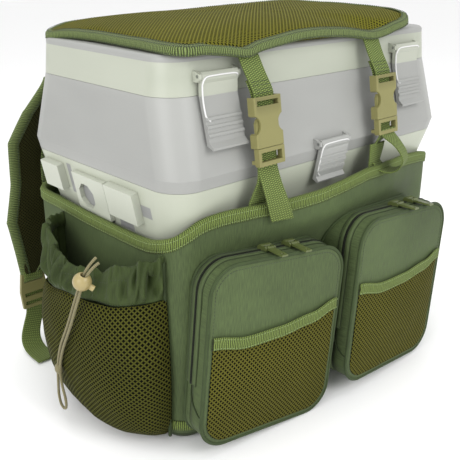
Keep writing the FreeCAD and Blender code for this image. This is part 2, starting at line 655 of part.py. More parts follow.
def make_pocket(side, place, bag):
    """A pocket whose upper front opens on a zip and folds down at the zip's lower end."""
    frame = Placement(Vector(place["x"], place["front"], place["z"]),
                      Rotation(Vector(0, 0, 1), place["yaw"]) * Rotation(Vector(0, 1, 0), place["roll"]))
    half_w, half_h = cell("pocket_width") / 2, cell("pocket_height") / 2
    wall, depth, corner = cell("pocket_wall"), cell("door_depth"), cell("pocket_corner")
    fold = -half_h + cell("zip_end")
    rear = [pocket_rear(place, hand * half_w.value) for hand in (-1, 1)]

    back = doc.addObject("PartDesign::Body", f"PocketBack_{side}")
    back.Placement = frame
    wedge = new_sketch(back, "XY", -half_h)
    polygon(wedge, [(-half_w, depth + 0.3), (half_w, depth + 0.3), (half_w, rear[1]), (-half_w, rear[0])])
    pad(back, wedge, half_h * 2)
    round_edges(back, corner - 1.5, along(Vector(0, 1, 0)))
    front = new_sketch(back, "XZ", -depth - 0.4)
    rounded_rect(front, -half_w, half_w, -half_h, half_h, corner)
    pad(back, front, depth + 0.4)
    gap = new_sketch(back, "XZ", 1)
    polygon(gap, [(-90, fold), (90, fold), (90, half_h + 1), (-90, half_h + 1)])
    cut(back, gap, depth + 1.2)
    inside = new_sketch(back, "XZ", -wall)
    rounded_rect(inside, -half_w + wall, half_w - wall, -half_h + wall, half_h - wall, corner - wall)
    cut(back, inside, min(rear) - 2 * wall.value)
    deep = new_sketch(back, "XZ", -wall)
    middle = 4 if rear[1] > rear[0] else -4
    spread = (middle, half_w - wall) if rear[1] > rear[0] else (-half_w + wall, middle)
    rounded_rect(deep, spread[0], spread[1], -half_h + wall, half_h - wall, corner - wall)
    cut(back, deep, (rear[0] + rear[1]) / 2 - 2 * wall.value)
    fitted = doc.addObject("Part::Cut", f"PocketFit_{side}")
    fitted.Base, fitted.Tool = back, bag
    keep(fitted, f"pocket_{side}_back")

    door = new_body(f"pocket_{side}_door", frame)
    front = new_sketch(door, "XZ", -depth + 0.2)
    rounded_rect(front, -half_w, half_w, -half_h, half_h, corner)
    pad(door, front, depth - 0.2)
    below = new_sketch(door, "XZ", 1)
    polygon(below, [(-90, -half_h - 1), (90, -half_h - 1), (90, fold + 0.4), (-90, fold + 0.4)])
    cut(door, below, depth + 2)
    inside = new_sketch(door, "XZ", -wall)
    rounded_rect(inside, -half_w + wall, half_w - wall, -half_h, half_h - wall, corner - wall)
    cut(door, inside, depth)

    edge = [(-74, 14), (-40, 9), (0, 11), (40, 16), (74, 24)]
    low = fold.value
    plate(f"pocket_{side}_mesh_upper", "XZ", 0.1, [(-74, low + 2), (74, low + 2)] + edge[::-1], 1, frame)
    plate(f"pocket_{side}_mesh_lower", "XZ", 0.1,
          [(-74, low - 2.5), (-74, -68), (-66, -80), (-54, -86), (54, -86), (66, -80), (74, -68), (74, low - 2.5)],
          1, frame)
    tape = [(x, z + 0.2) for x, z in edge] + [(x, z + SIZES["tape_height"]) for x, z in edge[::-1]]
    plate(f"pocket_{side}_mesh_edge", "XZ", 0.1, tape, 1.8, frame)

    zipper = new_body(f"pocket_{side}_zip", frame)
    band = new_sketch(zipper, "XZ", -depth - 5)
    rounded_rect(band, -half_w - 1, half_w + 1, -half_h, half_h + 1, corner - 0.5)
    pad(zipper, band, 4.5)
    hollow = new_sketch(zipper, "XZ", -depth + 1)
    rounded_rect(hollow, -half_w - 0.1, half_w + 0.1, -half_h - 20, half_h + 0.1, corner - 1.5)
    cut(zipper, hollow, 8)
    low_part = new_sketch(zipper, "XZ", -depth + 1)
    polygon(low_part, [(-90, -half_h - 1), (90, -half_h - 1), (90, fold), (-90, fold)])
    cut(zipper, low_part, 8)
    for number, x in ((1, place["sliders"][0]), (2, place["sliders"][1])):
        make_zip_slider(f"{side}_{number}", x, frame)


def make_zip_slider(name, x, frame):
    """A slider on the top run of the zip, and the pull tab on its cross pin."""
    top = SIZES["pocket_height"] / 2
    slider = new_body(f"zip_slider_{name}", frame)
    saddle = new_sketch(slider, "YZ", x - 6.3)
    polygon(saddle, [(18, top + 1.4), (25, top + 1.4), (25, top + 4), (23, top + 6.4), (19.5, top + 6.4),
                     (18, top + 5)])
    pad(slider, saddle, 12.6)
    for start in (x - 6.3, x + 4.3):
        lug = new_sketch(slider, "YZ", start)
        polygon(lug, [(12.6, top + 2.6), (19, top + 2.6), (19, top + 6), (14, top + 6.4), (12.4, top + 5.2)])
        pad(slider, lug, 2)
    pin = new_sketch(slider, "YZ", x - 5)
    circle(pin, 14.6, top + 4.5, 0.9)
    pad(slider, pin, 10)

    pull = new_body(f"zip_pull_{name}", frame)
    tab = new_sketch(pull, "YZ", x - 3.8)
    polygon(tab, [(16.6, top + 3.6), (16.6, top + 5.4), (15.4, top + 6.4), (13.6, top + 6.4), (12, top + 5.4),
                  (-8, top + 5.2), (-8, top + 3.4), (12, top + 3.2), (13.6, top + 2.6), (15.4, top + 2.6)])
    pad(pull, tab, 7.6)
    eye = new_sketch(pull, "YZ", x + 4.5)
    circle(eye, 14.6, top + 4.5, 0.96)
    cut(pull, eye, 9)
    tip = new_sketch(pull, "XY", top + 8)
    circle(tip, x, -4, 1.9)
    cut(pull, tip, 8)


# ---------------------------------------------------------------- the side pocket and its drawcord

def make_side_pocket():
    inner = -(cell("bag_width") / 2 + cell("stand_off"))
    wall = size_of(2)
    shell("side_pocket_mesh", [
        (inner - 36, inner, size_of(-104), size_of(62), size_of(16), size_of(9)),
        (inner - 52, inner, size_of(-110), size_of(74), size_of(22), size_of(60)),
        (inner - 54, inner, size_of(-108), size_of(74), size_of(24), size_of(115)),
        (inner - 46, inner, size_of(-104), size_of(68), size_of(20), size_of(150)),
    ], wall, floor=wall)
    shell("side_pocket_collar", [
        (inner - 46, inner, size_of(-104), size_of(68), size_of(20), size_of(150.3)),
        (inner - 41, inner, size_of(-101), size_of(63), size_of(17), size_of(175)),
        (inner - 44, inner, size_of(-103), size_of(65), size_of(18), size_of(199)),
    ], wall)


CORD_WAY = Vector(-0.13, 0.36, -0.924).normalize()
CORD_SIDE = CORD_WAY.cross(Vector(1, 0, 0)).normalize()
BALL = Vector(-259, -58, 178)


def cord_route():
    """The drawcord's points: out of the collar, through the ball, down to the knot, round the loop and back."""
    side = CORD_SIDE * SIZES["strand_offset"]
    down = [BALL - CORD_WAY * 14, BALL + CORD_WAY * 24]
    front_strand = [Vector(-245, -66, 195)] + [p + side for p in down]
    front_strand += [Vector(-263, -35, 122), Vector(-263, -16, 91), Vector(-262.5, -5.2, 64),
                     Vector(-262, -5.6, 44), Vector(-261, -9.6, 28), Vector(-260.5, -7.6, 14.5)]
    back_strand = [Vector(-260.5, 2.2, 14), Vector(-261, 5.2, 27), Vector(-262, 1.4, 43),
                   Vector(-262.5, -1.4, 64), Vector(-263, -11.5, 92), Vector(-263, -31, 123)]
    back_strand += [p - side for p in down[::-1]] + [Vector(-245, -62, 199)]
    return front_strand + back_strand


def corded(points, radius):
    """A round cord along straight runs joined by tangent arcs; prints the radii and the run lengths."""
    runs = [(b - a).Length for a, b in zip(points, points[1:])]
    edges = []
    radii = []
    start = points[0]
    for i in range(1, len(points) - 1):
        into = (points[i] - points[i - 1]).normalize()
        away = (points[i + 1] - points[i]).normalize()
        half_turn = math.acos(max(-1, min(1, into.dot(away)))) / 2
        trim = 0.45 * min(runs[i - 1], runs[i])
        radii.append(trim / math.tan(half_turn))
        first = points[i] - into * trim
        last = points[i] + away * trim
        inward = (away - into).normalize()
        middle = points[i] + inward * (radii[-1] / math.cos(half_turn) - radii[-1])
        edges += [Part.LineSegment(start, first).toShape(), Part.Arc(first, middle, last).toShape()]
        start = last
    edges.append(Part.LineSegment(start, points[-1]).toShape())
    wire = Part.Wire(edges)
    section = Part.Wire([Part.Circle(points[0], points[1] - points[0], radius).toShape()])
    tube = wire.makePipeShell([section], True, False)
    share = tube.Volume / (math.pi * radius ** 2 * wire.Length)
    print("cord: length", round(wire.Length, 1), "volume over section x length", round(share, 4))
    print("cord: radii", [round(r, 1) for r in radii], "runs", [round(r, 1) for r in runs])
    return tube


def make_drawcord():
    cord = doc.addObject("Part::Feature", "Cord")
    cord.Shape = corded(cord_route(), SIZES["cord_radius"])
    keep(cord, "drawcord")

    ball = doc.addObject("Part::Sphere", "Ball")
    bind(ball, "Radius", cell("ball_radius"))
    ball.Placement.Base = BALL
    bore = doc.addObject("Part::Cylinder", "Bore")
    bind(bore, "Radius", cell("ball_bore"))
    bind(bore, "Height", cell("ball_radius") * 2 + 4)
    bore.Placement = Placement(BALL - CORD_WAY * (SIZES["ball_radius"] + 2), Rotation(Vector(0, 0, 1), CORD_WAY))
    hole = doc.addObject("Part::Cylinder", "ButtonHole")
    bind(hole, "Radius", cell("button_radius") + 0.08)
    bind(hole, "Height", cell("ball_radius"))
    press = BUTTON_WAY
    hole.Placement = Placement(BALL + press * 4.2, Rotation(Vector(0, 0, 1), press))
    tools = doc.addObject("Part::Fuse", "Bores")
    tools.Base, tools.Tool = bore, hole
    lock = doc.addObject("Part::Cut", "BallLock")
    lock.Base, lock.Tool = ball, tools
    keep(lock, "toggle_ball")

    button = doc.addObject("Part::Cylinder", "Button")
    bind(button, "Radius", cell("button_radius"))
    bind(button, "Height", cell("button_length"))
    button.Placement = Placement(BALL + press * SIZES["button_start"], Rotation(Vector(0, 0, 1), press))
    keep(button, "toggle_button")

    knot = doc.addObject("Part::Ellipsoid", "Knot")
    knot.Radius1, knot.Radius2, knot.Radius3 = 6, 3.8, 4.6
    knot.Placement.Base = Vector(-262.5, -3.3, 63)
    keep(knot, "cord_knot")


# ---------------------------------------------------------------- the shoulder straps

def make_shoulder_strap(name, side):
    """The padded band that bows out behind the bag, its ladder lock, and the webbing back to the bag's base."""
    def across(points):
        return [(side * x, z) for x, z in points]

    outline = across([(112, 322), (166, 322), (190, 290), (206, 252), (206, 205), (219, 160), (214, 122),
                      (211, 94), (186, 94), (168, 122), (164, 177), (160, 239), (140, 285)])
    face = doc.addObject("PartDesign::Body", "StrapFace")
    sketch = new_sketch(face, "XZ", -185)
    polygon(sketch, outline)
    pad(face, sketch, 45)
    line = [(147.5, 322), (152, 300), (168, 262), (173, 225), (170, 175), (167, 130), (165.5, 94)]
    bend = doc.addObject("PartDesign::Body", "StrapBend")
    sketch = new_sketch(bend, "YZ", -230)
    polygon(sketch, ribbon(line, SIZES["shoulder_thick"]))
    pad(bend, sketch, 460)
    band = doc.addObject("Part::Common", "StrapBand")
    band.Base, band.Tool = face, bend
    keep(band, f"shoulder_pad_{name}")

    thick = cell("lock_thick")
    lock = plate(f"ladder_lock_{name}", "XZ", -(thick / 2 + 165.5),
                 across([(183, 48), (214, 48), (216, 70), (213, 93.6), (184, 93.6), (181, 70)]), thick)
    for low, high in ((52, 57), (63, 68), (82, 87)):
        slot = new_sketch(lock, "XZ", -160)
        polygon(slot, across([(186, low), (211, low), (211, high), (186, high)]))
        cut(lock, slot, 12)
    start = 203.6 if side > 0 else -203.6 - SIZES["web"]
    plate(f"strap_tail_{name}", "YZ", start,
          ribbon([(165, 46.5), (163, 30), (155, 14), (143, 5), (130, 2.4), (112, 2.2)], SIZES["web_thick"]),
          cell("web"))


def finish():
    """Checks every object, and writes each sub-part to its own file."""
    doc.recompute()
    for thing in doc.Objects:
        assert "Invalid" not in thing.State and "Error" not in thing.State, (thing.Name, thing.Label, thing.State)
    os.makedirs("parts", exist_ok=True)
    for piece in PIECES:
        shape = piece.Shape
        assert not shape.isNull() and shape.isValid(), piece.Label
        shape.exportStep(os.path.join("parts", f"{piece.Label}.step"))
        box = shape.BoundBox
        print(f"{piece.Label:26s} {len(shape.Solids):2d} solids  {shape.Volume / 1000:9.2f} cm3  "
              f"x {box.XMin:7.1f} {box.XMax:7.1f}  y {box.YMin:7.1f} {box.YMax:7.1f}  z {box.ZMin:7.1f} {box.ZMax:7.1f}")


if __name__ == "__main__":
    make_box_base()
    make_box_tray()
    make_lid_band()
    make_lid_cap()
    make_latches()
    make_side_fittings()
    make_bag()
    make_seat_pad()
    make_straps()
    bag = bag_form(0.5)
    for pocket_side, pocket_place in POCKETS.items():
        make_pocket(pocket_side, pocket_place, bag)
    make_side_pocket()
    make_drawcord()
    make_shoulder_strap("left", -1)
    make_shoulder_strap("right", 1)
    finish()
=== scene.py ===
"""Tackle backpack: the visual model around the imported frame. Lengths are in millimetres until mesh() scales
them."""
from math import copysign, cos, exp, pi, radians, sin, sqrt

import bmesh
import bpy
import numpy as np
from mathutils import Matrix, Vector, noise


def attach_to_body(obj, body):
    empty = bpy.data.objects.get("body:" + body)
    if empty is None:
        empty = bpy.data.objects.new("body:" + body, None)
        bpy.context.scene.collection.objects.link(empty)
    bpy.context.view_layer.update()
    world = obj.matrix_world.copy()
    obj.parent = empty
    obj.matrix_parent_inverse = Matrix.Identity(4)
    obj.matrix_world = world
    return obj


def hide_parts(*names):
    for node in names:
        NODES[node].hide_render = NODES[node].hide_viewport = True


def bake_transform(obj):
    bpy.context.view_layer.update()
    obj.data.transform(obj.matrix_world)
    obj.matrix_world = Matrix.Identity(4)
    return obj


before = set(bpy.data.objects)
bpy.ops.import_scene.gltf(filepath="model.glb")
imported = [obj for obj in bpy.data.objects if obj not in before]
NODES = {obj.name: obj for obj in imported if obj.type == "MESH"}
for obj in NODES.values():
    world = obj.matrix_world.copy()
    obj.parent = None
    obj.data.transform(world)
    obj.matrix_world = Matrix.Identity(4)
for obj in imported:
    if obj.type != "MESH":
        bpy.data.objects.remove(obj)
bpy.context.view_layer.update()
MM = 0.001
TAU = 2 * pi


# ---- small maths

def lerp(a, b, t):
    return a + (b - a) * t


def smooth(t):
    t = min(1.0, max(0.0, t))
    return t * t * (3 - 2 * t)


def curve_at(knots, x):
    """A smooth line through (x, value) knots."""
    for (x0, v0), (x1, v1) in zip(knots, knots[1:]):
        if x <= x1:
            return lerp(v0, v1, smooth((x - x0) / (x1 - x0)))
    return knots[-1][1]


def wobble(p, size, seed=0.0):
    """Smooth noise from -1 to 1 with features of about that size."""
    return noise.noise(Vector(p) / size + Vector((seed, seed * 1.7, -seed)))


def resample(points, count, closed=False):
    """Points spaced evenly along a line."""
    p = np.array(points, float)
    if closed:
        p = np.vstack([p, p[:1]])
    s = np.concatenate([[0], np.cumsum(np.linalg.norm(np.diff(p, axis=0), axis=1))])
    at = np.linspace(0, s[-1], count + 1)[:-1] if closed else np.linspace(0, s[-1], count)
    return np.stack([np.interp(at, s, p[:, k]) for k in range(p.shape[1])], axis=1)


def spline(points, count, closed=False):
    """A Catmull-Rom curve through the points, spaced evenly."""
    p = [Vector(q) for q in points]
    p = [p[-1], *p, *p[:2]] if closed else [p[0], *p, p[-1]]
    dense = []
    for a, b, c, d in zip(p, p[1:], p[2:], p[3:]):
        for k in range(16):
            t = k / 16
            dense.append(0.5 * (2 * b + (c - a) * t + (2 * a - 5 * b + 4 * c - d) * t * t
                                + (3 * b - a - 3 * c + d) * t ** 3))
    if not closed:
        dense.append(p[-1])
    return resample(dense, count, closed)


def rounded(x0, x1, y0, y1, r, count):
    """A rounded rectangle, counter-clockwise from the middle of its first side, spaced evenly."""
    points = [((x0 + x1) / 2, y0)]
    corners = ((x1 - r, y0 + r, -90), (x1 - r, y1 - r, 0), (x0 + r, y1 - r, 90), (x0 + r, y0 + r, 180))
    for cx, cy, start in corners:
        for step in range(13):
            turn = radians(start + 7.5 * step)
            points.append((cx + r * cos(turn), cy + r * sin(turn)))
    return resample(points, count, True)


def outward(ring):
    """Unit normals in the plane of a counter-clockwise ring."""
    ahead = np.roll(ring, -1, axis=0) - np.roll(ring, 1, axis=0)
    normal = np.stack([ahead[:, 1], -ahead[:, 0]], axis=1)
    return normal / np.maximum(np.linalg.norm(normal, axis=1), 1e-9)[:, None]


def sideways(ring):
    """The outward directions of a level ring, as vectors."""
    return [Vector((a, b, 0)) for a, b in outward(np.array(ring)[:, :2])]


def beside(ring, sides, offsets):
    """Closed lines beside a ring, each one out and up from it in mm."""
    return [[(x + side.x * out, y + side.y * out, z + up)
             for (x, y, z), side in zip(ring + ring[:1], sides + sides[:1])] for out, up in offsets]


# ---- meshes

def ways(path, closed=False):
    """The direction of travel at each point of a path."""
    p = np.array(path, float)
    p = np.vstack([p[-1:], p, p[:1]] if closed else [p[:1], p, p[-1:]])
    return [Vector(d).normalized() for d in p[2:] - p[:-2]]


def add(name, data):
    """A new object in the scene."""
    obj = bpy.data.objects.new(name, data)
    bpy.context.scene.collection.objects.link(obj)
    return obj


def mesh(name, points, faces, paint, uvs=None, place=None):
    """A new mesh object: points in mm, place a Matrix in mm, and uvs one (u, v) in mm per corner."""
    data = bpy.data.meshes.new(name)
    data.from_pydata([tuple((place @ Vector(p) if place else Vector(p)) * MM) for p in points], [], faces)
    if uvs is not None:
        layer = data.uv_layers.new(name="cloth")
        layer.data.foreach_set("uv", np.array(uvs, np.float32).ravel())
    data.polygons.foreach_set("use_smooth", [True] * len(data.polygons))
    data.materials.append(paint)
    return add(name, data)


def grid(name, rows, paint, closed_u=False, closed_v=False, caps=False, place=None, turn=False):
    """A surface through rows of points; its map runs along the rows and up them, in mm."""
    p = np.array(rows, float)
    nv, nu = p.shape[:2]
    step_u = np.linalg.norm(np.roll(p, -1, axis=1) - p, axis=2).mean(axis=0)
    step_v = np.linalg.norm(np.roll(p, -1, axis=0) - p, axis=2).mean(axis=1)
    u, v = (np.concatenate([[0], np.cumsum(step)]) for step in (step_u, step_v))
    faces, uvs = [], []
    for j in range(nv if closed_v else nv - 1):
        for i in range(nu if closed_u else nu - 1):
            corners = [((j + dj) % nv * nu + (i + di) % nu, (u[i + di], v[j + dj]))
                       for di, dj in ((0, 0), (1, 0), (1, 1), (0, 1))]
            if turn:
                corners = corners[::-1]
            faces.append([k for k, _ in corners])
            uvs += [uv for _, uv in corners]
    if caps:
        for row, flip in ((0, True), (nv - 1, False)):
            face = [row * nu + i for i in range(nu)][::-1 if flip != turn else 1]
            faces.append(face)
            uvs += [(u[k % nu], v[row]) for k in face]
    return mesh(name, p.reshape(-1, 3), faces, paint, uvs, place)


def face_out(obj):
    """Turns a closed form's faces outwards."""
    form = bmesh.new()
    form.from_mesh(obj.data)
    bmesh.ops.recalc_face_normals(form, faces=form.faces)
    form.to_mesh(obj.data)
    form.free()
    return obj


def sweep(name, path, across, up, profile, paint, closed=False, place=None):
    """A closed profile of (a, b) carried along a path: a goes along across and b along up. Each is one direction
    per point, or one for them all."""
    path = np.array(path, float)
    across, up = (np.broadcast_to(np.array(way, float), path.shape) for way in (across, up))
    rows = [[path[k] + across[k] * a + up[k] * b for a, b in profile] for k in range(len(path))]
    return face_out(grid(name, rows, paint, closed_u=True, closed_v=closed, caps=not closed, place=place))


def tube(name, path, radius, paint, closed=False, place=None, sides=10, up=(0, 0, 1)):
    """A round tube along a path."""
    across, other = [], []
    for way in ways(path, closed):
        side = way.cross(Vector(up))
        if side.length < 1e-3:
            side = way.cross(Vector((1, 0, 0)))
        side.normalize()
        across.append(side)
        other.append(side.cross(way))
    circle = [(radius * cos(TAU * i / sides), radius * sin(TAU * i / sides)) for i in range(sides)]
    return sweep(name, path, across, other, circle, paint, closed, place)


def band_profile(width, thick):
    """A flat band's section with round edges, along a and b."""
    r = thick / 2
    reach = width / 2 - r
    points = []
    for side, start in ((1, -90), (-1, 90)):
        for step in range(5):
            turn = radians(start + 45 * step)
            points.append((side * reach + r * cos(turn), r * sin(turn)))
        points += [(x, side * r) for x in np.linspace(side * reach, -side * reach, 8)[1:-1]]
    return points


def seams(name, lines, paint, pitch=3.4, length=2.4, radius=0.38, place=None):
    """Rows of stitches along the lines; each line is a list of points on the cloth."""
    points, faces = [], []
    for line in lines:
        total = np.linalg.norm(np.diff(np.array(line, float), axis=0), axis=1).sum()
        count = max(2, int(total / pitch) * 2)
        spots = resample(line, count)
        for a, b in zip(map(Vector, spots[::2]), map(Vector, spots[1::2])):
            way = (b - a).normalized()
            if not way.length:
                continue
            side = way.orthogonal().normalized()
            up = way.cross(side)
            base = len(points)
            for t, r in ((0, 0.35), (0.25, 1), (0.75, 1), (1, 0.35)):
                for i in range(5):
                    turn = TAU * i / 5
                    across = side * cos(turn) + up * sin(turn)
                    points.append(a + way * length * t + across * radius * r)
            for j in range(3):
                for i in range(5):
                    p, q = base + j * 5 + i, base + j * 5 + (i + 1) % 5
                    faces.append([p, q, q + 5, p + 5])
            faces += [[base + i for i in range(4, -1, -1)], [base + 15 + i for i in range(5)]]
    return mesh(name, points, faces, paint, place=place)


def thicken(obj, thick, offset=-1.0):
    """Gives a sheet its thickness: offset -1 goes inwards from the surface."""
    m = obj.modifiers.new("thick", "SOLIDIFY")
    m.thickness, m.offset = thick * MM, offset
    return obj


def settle(obj):
    """Applies an object's modifiers."""
    depsgraph = bpy.context.evaluated_depsgraph_get()
    data = bpy.data.meshes.new_from_object(obj.evaluated_get(depsgraph))
    obj.modifiers.clear()
    obj.data = data
    return obj


def dress(obj, nodes):
    """The piece stands for CAD nodes, which are hidden."""
    if nodes:
        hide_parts(*nodes)
    return obj


def on(obj, body, slot, *nodes):
    """The piece rides on a body."""
    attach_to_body(obj, body)
    return dress(obj, nodes)


def stays(obj, slot, *nodes):
    """The piece belongs to the bag."""
    return on(obj, "rucksack", slot, *nodes)


def bends(obj, first, second, start, end, slot, *nodes):
    """The piece's place is baked into its mesh and the CAD nodes it stands for are hidden; start and end, in mm,
    are not used.
    """
    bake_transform(obj)
    return dress(obj, nodes)


# ---- materials

STUDIO = 0.62   # under the strong studio light a paint is this much darker than it looks


def colour(rgb, gain=1.0, lift=0.0):
    """A screen colour, changed by gain and lift, as the linear base colour of a paint."""
    def linear(c):
        c = min(255, c * gain + lift) / 255
        return STUDIO * (c / 12.92 if c <= 0.04045 else ((c + 0.055) / 1.055) ** 2.4)
    return (*(linear(c) for c in rgb), 1)


class Paint:
    """Builds one node material, socket by socket."""

    def __init__(self, name, base, rough, **sockets):
        self.mat = bpy.data.materials.new(name)
        self.mat.use_nodes = True
        self.tree = self.mat.node_tree
        self.shader = self.tree.nodes["Principled BSDF"]
        self.shader.inputs["Base Color"].default_value = base
        self.shader.inputs["Roughness"].default_value = rough
        for key, value in sockets.items():
            self.shader.inputs[key.replace("_", " ")].default_value = value

    def node(self, kind, inputs=(), **settings):
        n = self.tree.nodes.new("ShaderNode" + kind)
        for key, value in settings.items():
            setattr(n, key, value)
        for key, value in dict(inputs).items():
            self.put(n.inputs[key], value)
        return n

    def put(self, socket, value):
        if isinstance(value, bpy.types.NodeSocket):
            self.tree.links.new(value, socket)
        else:
            socket.default_value = value

    def math(self, operation, a, b=0.0):
        return self.node("Math", {0: a, 1: b}, operation=operation).outputs[0]

    def times(self, a, b):
        return self.math("MULTIPLY", a, b)

    def plus(self, a, b):
        return self.math("ADD", a, b)

    def minus(self, a, b):
        return self.math("SUBTRACT", a, b)

    def shift(self, x, gain, offset):
        return self.node("Math", {0: x, 1: gain, 2: offset}, operation="MULTIPLY_ADD").outputs[0]

    def mix(self, share, a, b):
        return self.node("Mix", {0: share, 6: a, 7: b}, data_type="RGBA").outputs[2]

    def span(self, value, low, high, new_low=0.0, new_high=1.0):
        sockets = dict(enumerate((value, low, high, new_low, new_high)))
        return self.node("MapRange", sockets, clamp=True).outputs[0]

    def wave(self, x, pitch):
        """0 to 1 to 0 once every pitch."""
        return self.shift(self.math("COSINE", self.shift(x, TAU / pitch, 0.0)), 0.5, 0.5)

    def cloth(self):
        """The two directions of the cloth's own map, in mm."""
        where = self.node("UVMap", uv_map="cloth").outputs[0]
        return self.node("SeparateXYZ", {0: where}).outputs[:2]

    def place(self):
        return self.node("TexCoord").outputs["Object"]

    def axes(self):
        """The object's own x, y and z, in m."""
        return self.node("SeparateXYZ", {0: self.place()}).outputs[:3]

    def noise(self, scale, detail=3.0, stretch=(1, 1, 1), where=None):
        spot = self.node("Mapping", {0: where or self.place(), "Scale": stretch}).outputs[0]
        return self.node("TexNoise", {"Vector": spot, "Scale": scale, "Detail": detail}).outputs[0]

    def flow(self, most=1.0):
        """Slow marks that run down a moulded wall."""
        return self.span(self.noise(7.0, 2.0, (1, 1, 2.5)), 0.3, 0.7, 0.0, most)

    def finish(self, base, rough, height, depth, strength):
        """Links the colour, the roughness unless it is None, and a bump of that depth in mm."""
        self.put(self.shader.inputs["Base Color"], base)
        if rough is not None:
            self.put(self.shader.inputs["Roughness"], rough)
        bump = self.node("Bump", {"Height": height, "Strength": strength, "Distance": depth * MM})
        self.put(self.shader.inputs["Normal"], bump.outputs[0])
        return self.mat

    def grained(self, base, rough, grain=900.0):
        """Finishes plastic with a fine grain."""
        fine = self.noise(grain, 2.0)
        return self.finish(base, self.span(fine, 0.3, 0.7, rough * 0.85, rough * 1.15), fine, 0.06, 0.35)


def plain_weave(name, rgb, dark=0.80, pitch=1.1):
    """Coated polyester: fine crossing threads, faint slubs and a slow change of tone."""
    p = Paint(name, colour(rgb), 0.62, Sheen_Weight=0.03, Specular_IOR_Level=0.16)
    u, v = p.cloth()
    threads = p.times(p.wave(u, pitch), p.wave(v, pitch))
    drawn_out = p.node("CombineXYZ", {0: p.times(u, 1.2), 1: p.times(v, 0.09)}).outputs[0]
    slub = p.noise(1.0, 2.0, where=drawn_out)
    tone = p.plus(p.span(slub, 0.35, 0.65, 0.0, 0.5), p.span(p.noise(9.0), 0.3, 0.7, 0.0, 0.5))
    base = p.mix(tone, colour(rgb, dark), colour(rgb, 1.10))
    base = p.mix(p.times(p.span(threads, 0.0, 0.3, 1.0, 0.0), 0.25), base, colour(rgb, 0.6))
    return p.finish(base, p.span(slub, 0.3, 0.7, 0.52, 0.72), p.plus(threads, p.times(slub, 1.2)), 0.12, 0.5)


def webbing(name, rgb, pitch_u=2.6, pitch_v=2.1):
    """Woven tape: columns of short ribs, every other column half a rib further on."""
    p = Paint(name, colour(rgb), 0.75, Sheen_Weight=0.04, Specular_IOR_Level=0.15)
    u, v = p.cloth()
    odd = p.math("FLOORED_MODULO", p.math("FLOOR", p.shift(u, 1 / pitch_u, 0.5)), 2.0)
    ribs = p.wave(p.plus(v, p.times(odd, pitch_v / 2)), pitch_v)
    weave = p.times(p.span(ribs, 0.1, 0.8), p.span(p.wave(u, pitch_u), 0.05, 0.5, 0.35, 1.0))
    tone = p.times(weave, p.span(p.noise(900.0, 2.0), 0.3, 0.7, 0.78, 1.0))
    return p.finish(p.mix(tone, colour(rgb, 0.55), colour(rgb, 1.14)), None, weave, 0.45, 0.8)


def ribbed(name, rgb):
    """Binding tape: fine ribs across it, 2 mm apart and a little uneven."""
    p = Paint(name, colour(rgb), 0.75, Sheen_Weight=0.04, Specular_IOR_Level=0.15)
    u, v = p.cloth()
    rib = p.wave(p.plus(v, p.times(p.noise(160.0, 1.0), 2.4)), 2.0)
    rib = p.times(p.span(rib, 0.1, 0.8), p.span(p.wave(u, 1.7), 0.0, 0.4, 0.7, 1.0))
    return p.finish(p.mix(rib, colour(rgb, 0.5), colour(rgb, 1.2)), None, rib, 0.4, 0.8)


def air_mesh(name, thread, hole, pitch, open_share=0.5, mapped=True):
    """Knitted mesh: a net of slanting threads, with small dark holes in staggered rows."""
    p = Paint(name, colour(thread), 0.8, Specular_IOR_Level=0.07)
    u, v = p.cloth() if mapped else [p.times(axis, 1000.0) for axis in p.axes()[:2]]
    first, second = p.wave(p.plus(u, v), pitch), p.wave(p.minus(u, v), pitch)
    net = p.math("MAXIMUM", first, second)
    solid = p.span(net, open_share - 0.1, open_share + 0.12)
    tone = p.times(p.span(net, open_share, 1.0, 0.55, 1.0), p.span(p.noise(14.0), 0.3, 0.7, 0.78, 1.0))
    knit = p.mix(tone, colour(thread, 0.6), colour(thread, 1.2))
    knit = p.mix(p.times(p.math("MINIMUM", first, second), 0.3), knit, colour(thread, 0.6))
    return p.finish(p.mix(solid, colour(hole), knit), p.span(solid, 0, 1, 0.95, 0.7), net, 0.8, 0.8)


def moulded(name, rgb, rough=0.4, grain=900.0, vary=0.05, edge_highlight=0.10, **sockets):
    """Moulded plastic: faint grain, flow marks and a painted highlight that makes the raised edges slightly
    paler.
    """
    p = Paint(name, colour(rgb), rough, **sockets)
    base = p.mix(p.flow(), colour(rgb, 1 - vary), colour(rgb, 1 + vary))
    # painted highlight: convex edges, found by pointiness, are mixed towards a paler colour
    edge = p.span(p.node("NewGeometry").outputs["Pointiness"], 0.52, 0.6, 0.0, edge_highlight)
    return p.grained(p.mix(edge, base, colour(rgb, 1.25, 12)), rough, grain)


def tone_and_shade_patches(name, rgb, other, rough, patches):
    """Moulded plastic whose patches, boxes of low and high corners in mm, have another tone: painted shade on the
    base, a paler top on the latches.
    """
    p = Paint(name, colour(rgb), rough, Specular_IOR_Level=0.4)
    axes = p.axes()
    share = 0.0
    for low, high in patches:
        inside = 1.0
        for axis, bottom, top in zip(axes, low, high):
            for edge, way in ((bottom, 1), (top, -1)):
                if edge is not None:
                    inside = p.times(inside, p.span(p.shift(axis, 1000.0 * way, -edge * way), -0.4, 0.4))
        share = p.math("MAXIMUM", share, inside)
    base = p.mix(share, colour(rgb), colour(other))
    return p.grained(p.mix(p.flow(0.06), base, colour(rgb, 0.7)), rough)


def stranded(name, rgb, pitch=2.2):
    """Thin braided cord and sewing thread."""
    p = Paint(name, colour(rgb), 0.7, Sheen_Weight=0.1)
    x, y, z = p.axes()
    along = p.times(p.plus(z, p.times(y, 0.6)), 1000.0)
    across = p.times(p.minus(x, y), 1000.0)
    braid = p.math("MAXIMUM", p.wave(p.plus(along, across), pitch), p.wave(p.minus(along, across), pitch))
    return p.finish(p.mix(braid, colour(rgb, 0.62), colour(rgb, 1.12)), None, braid, 0.2, 0.6)


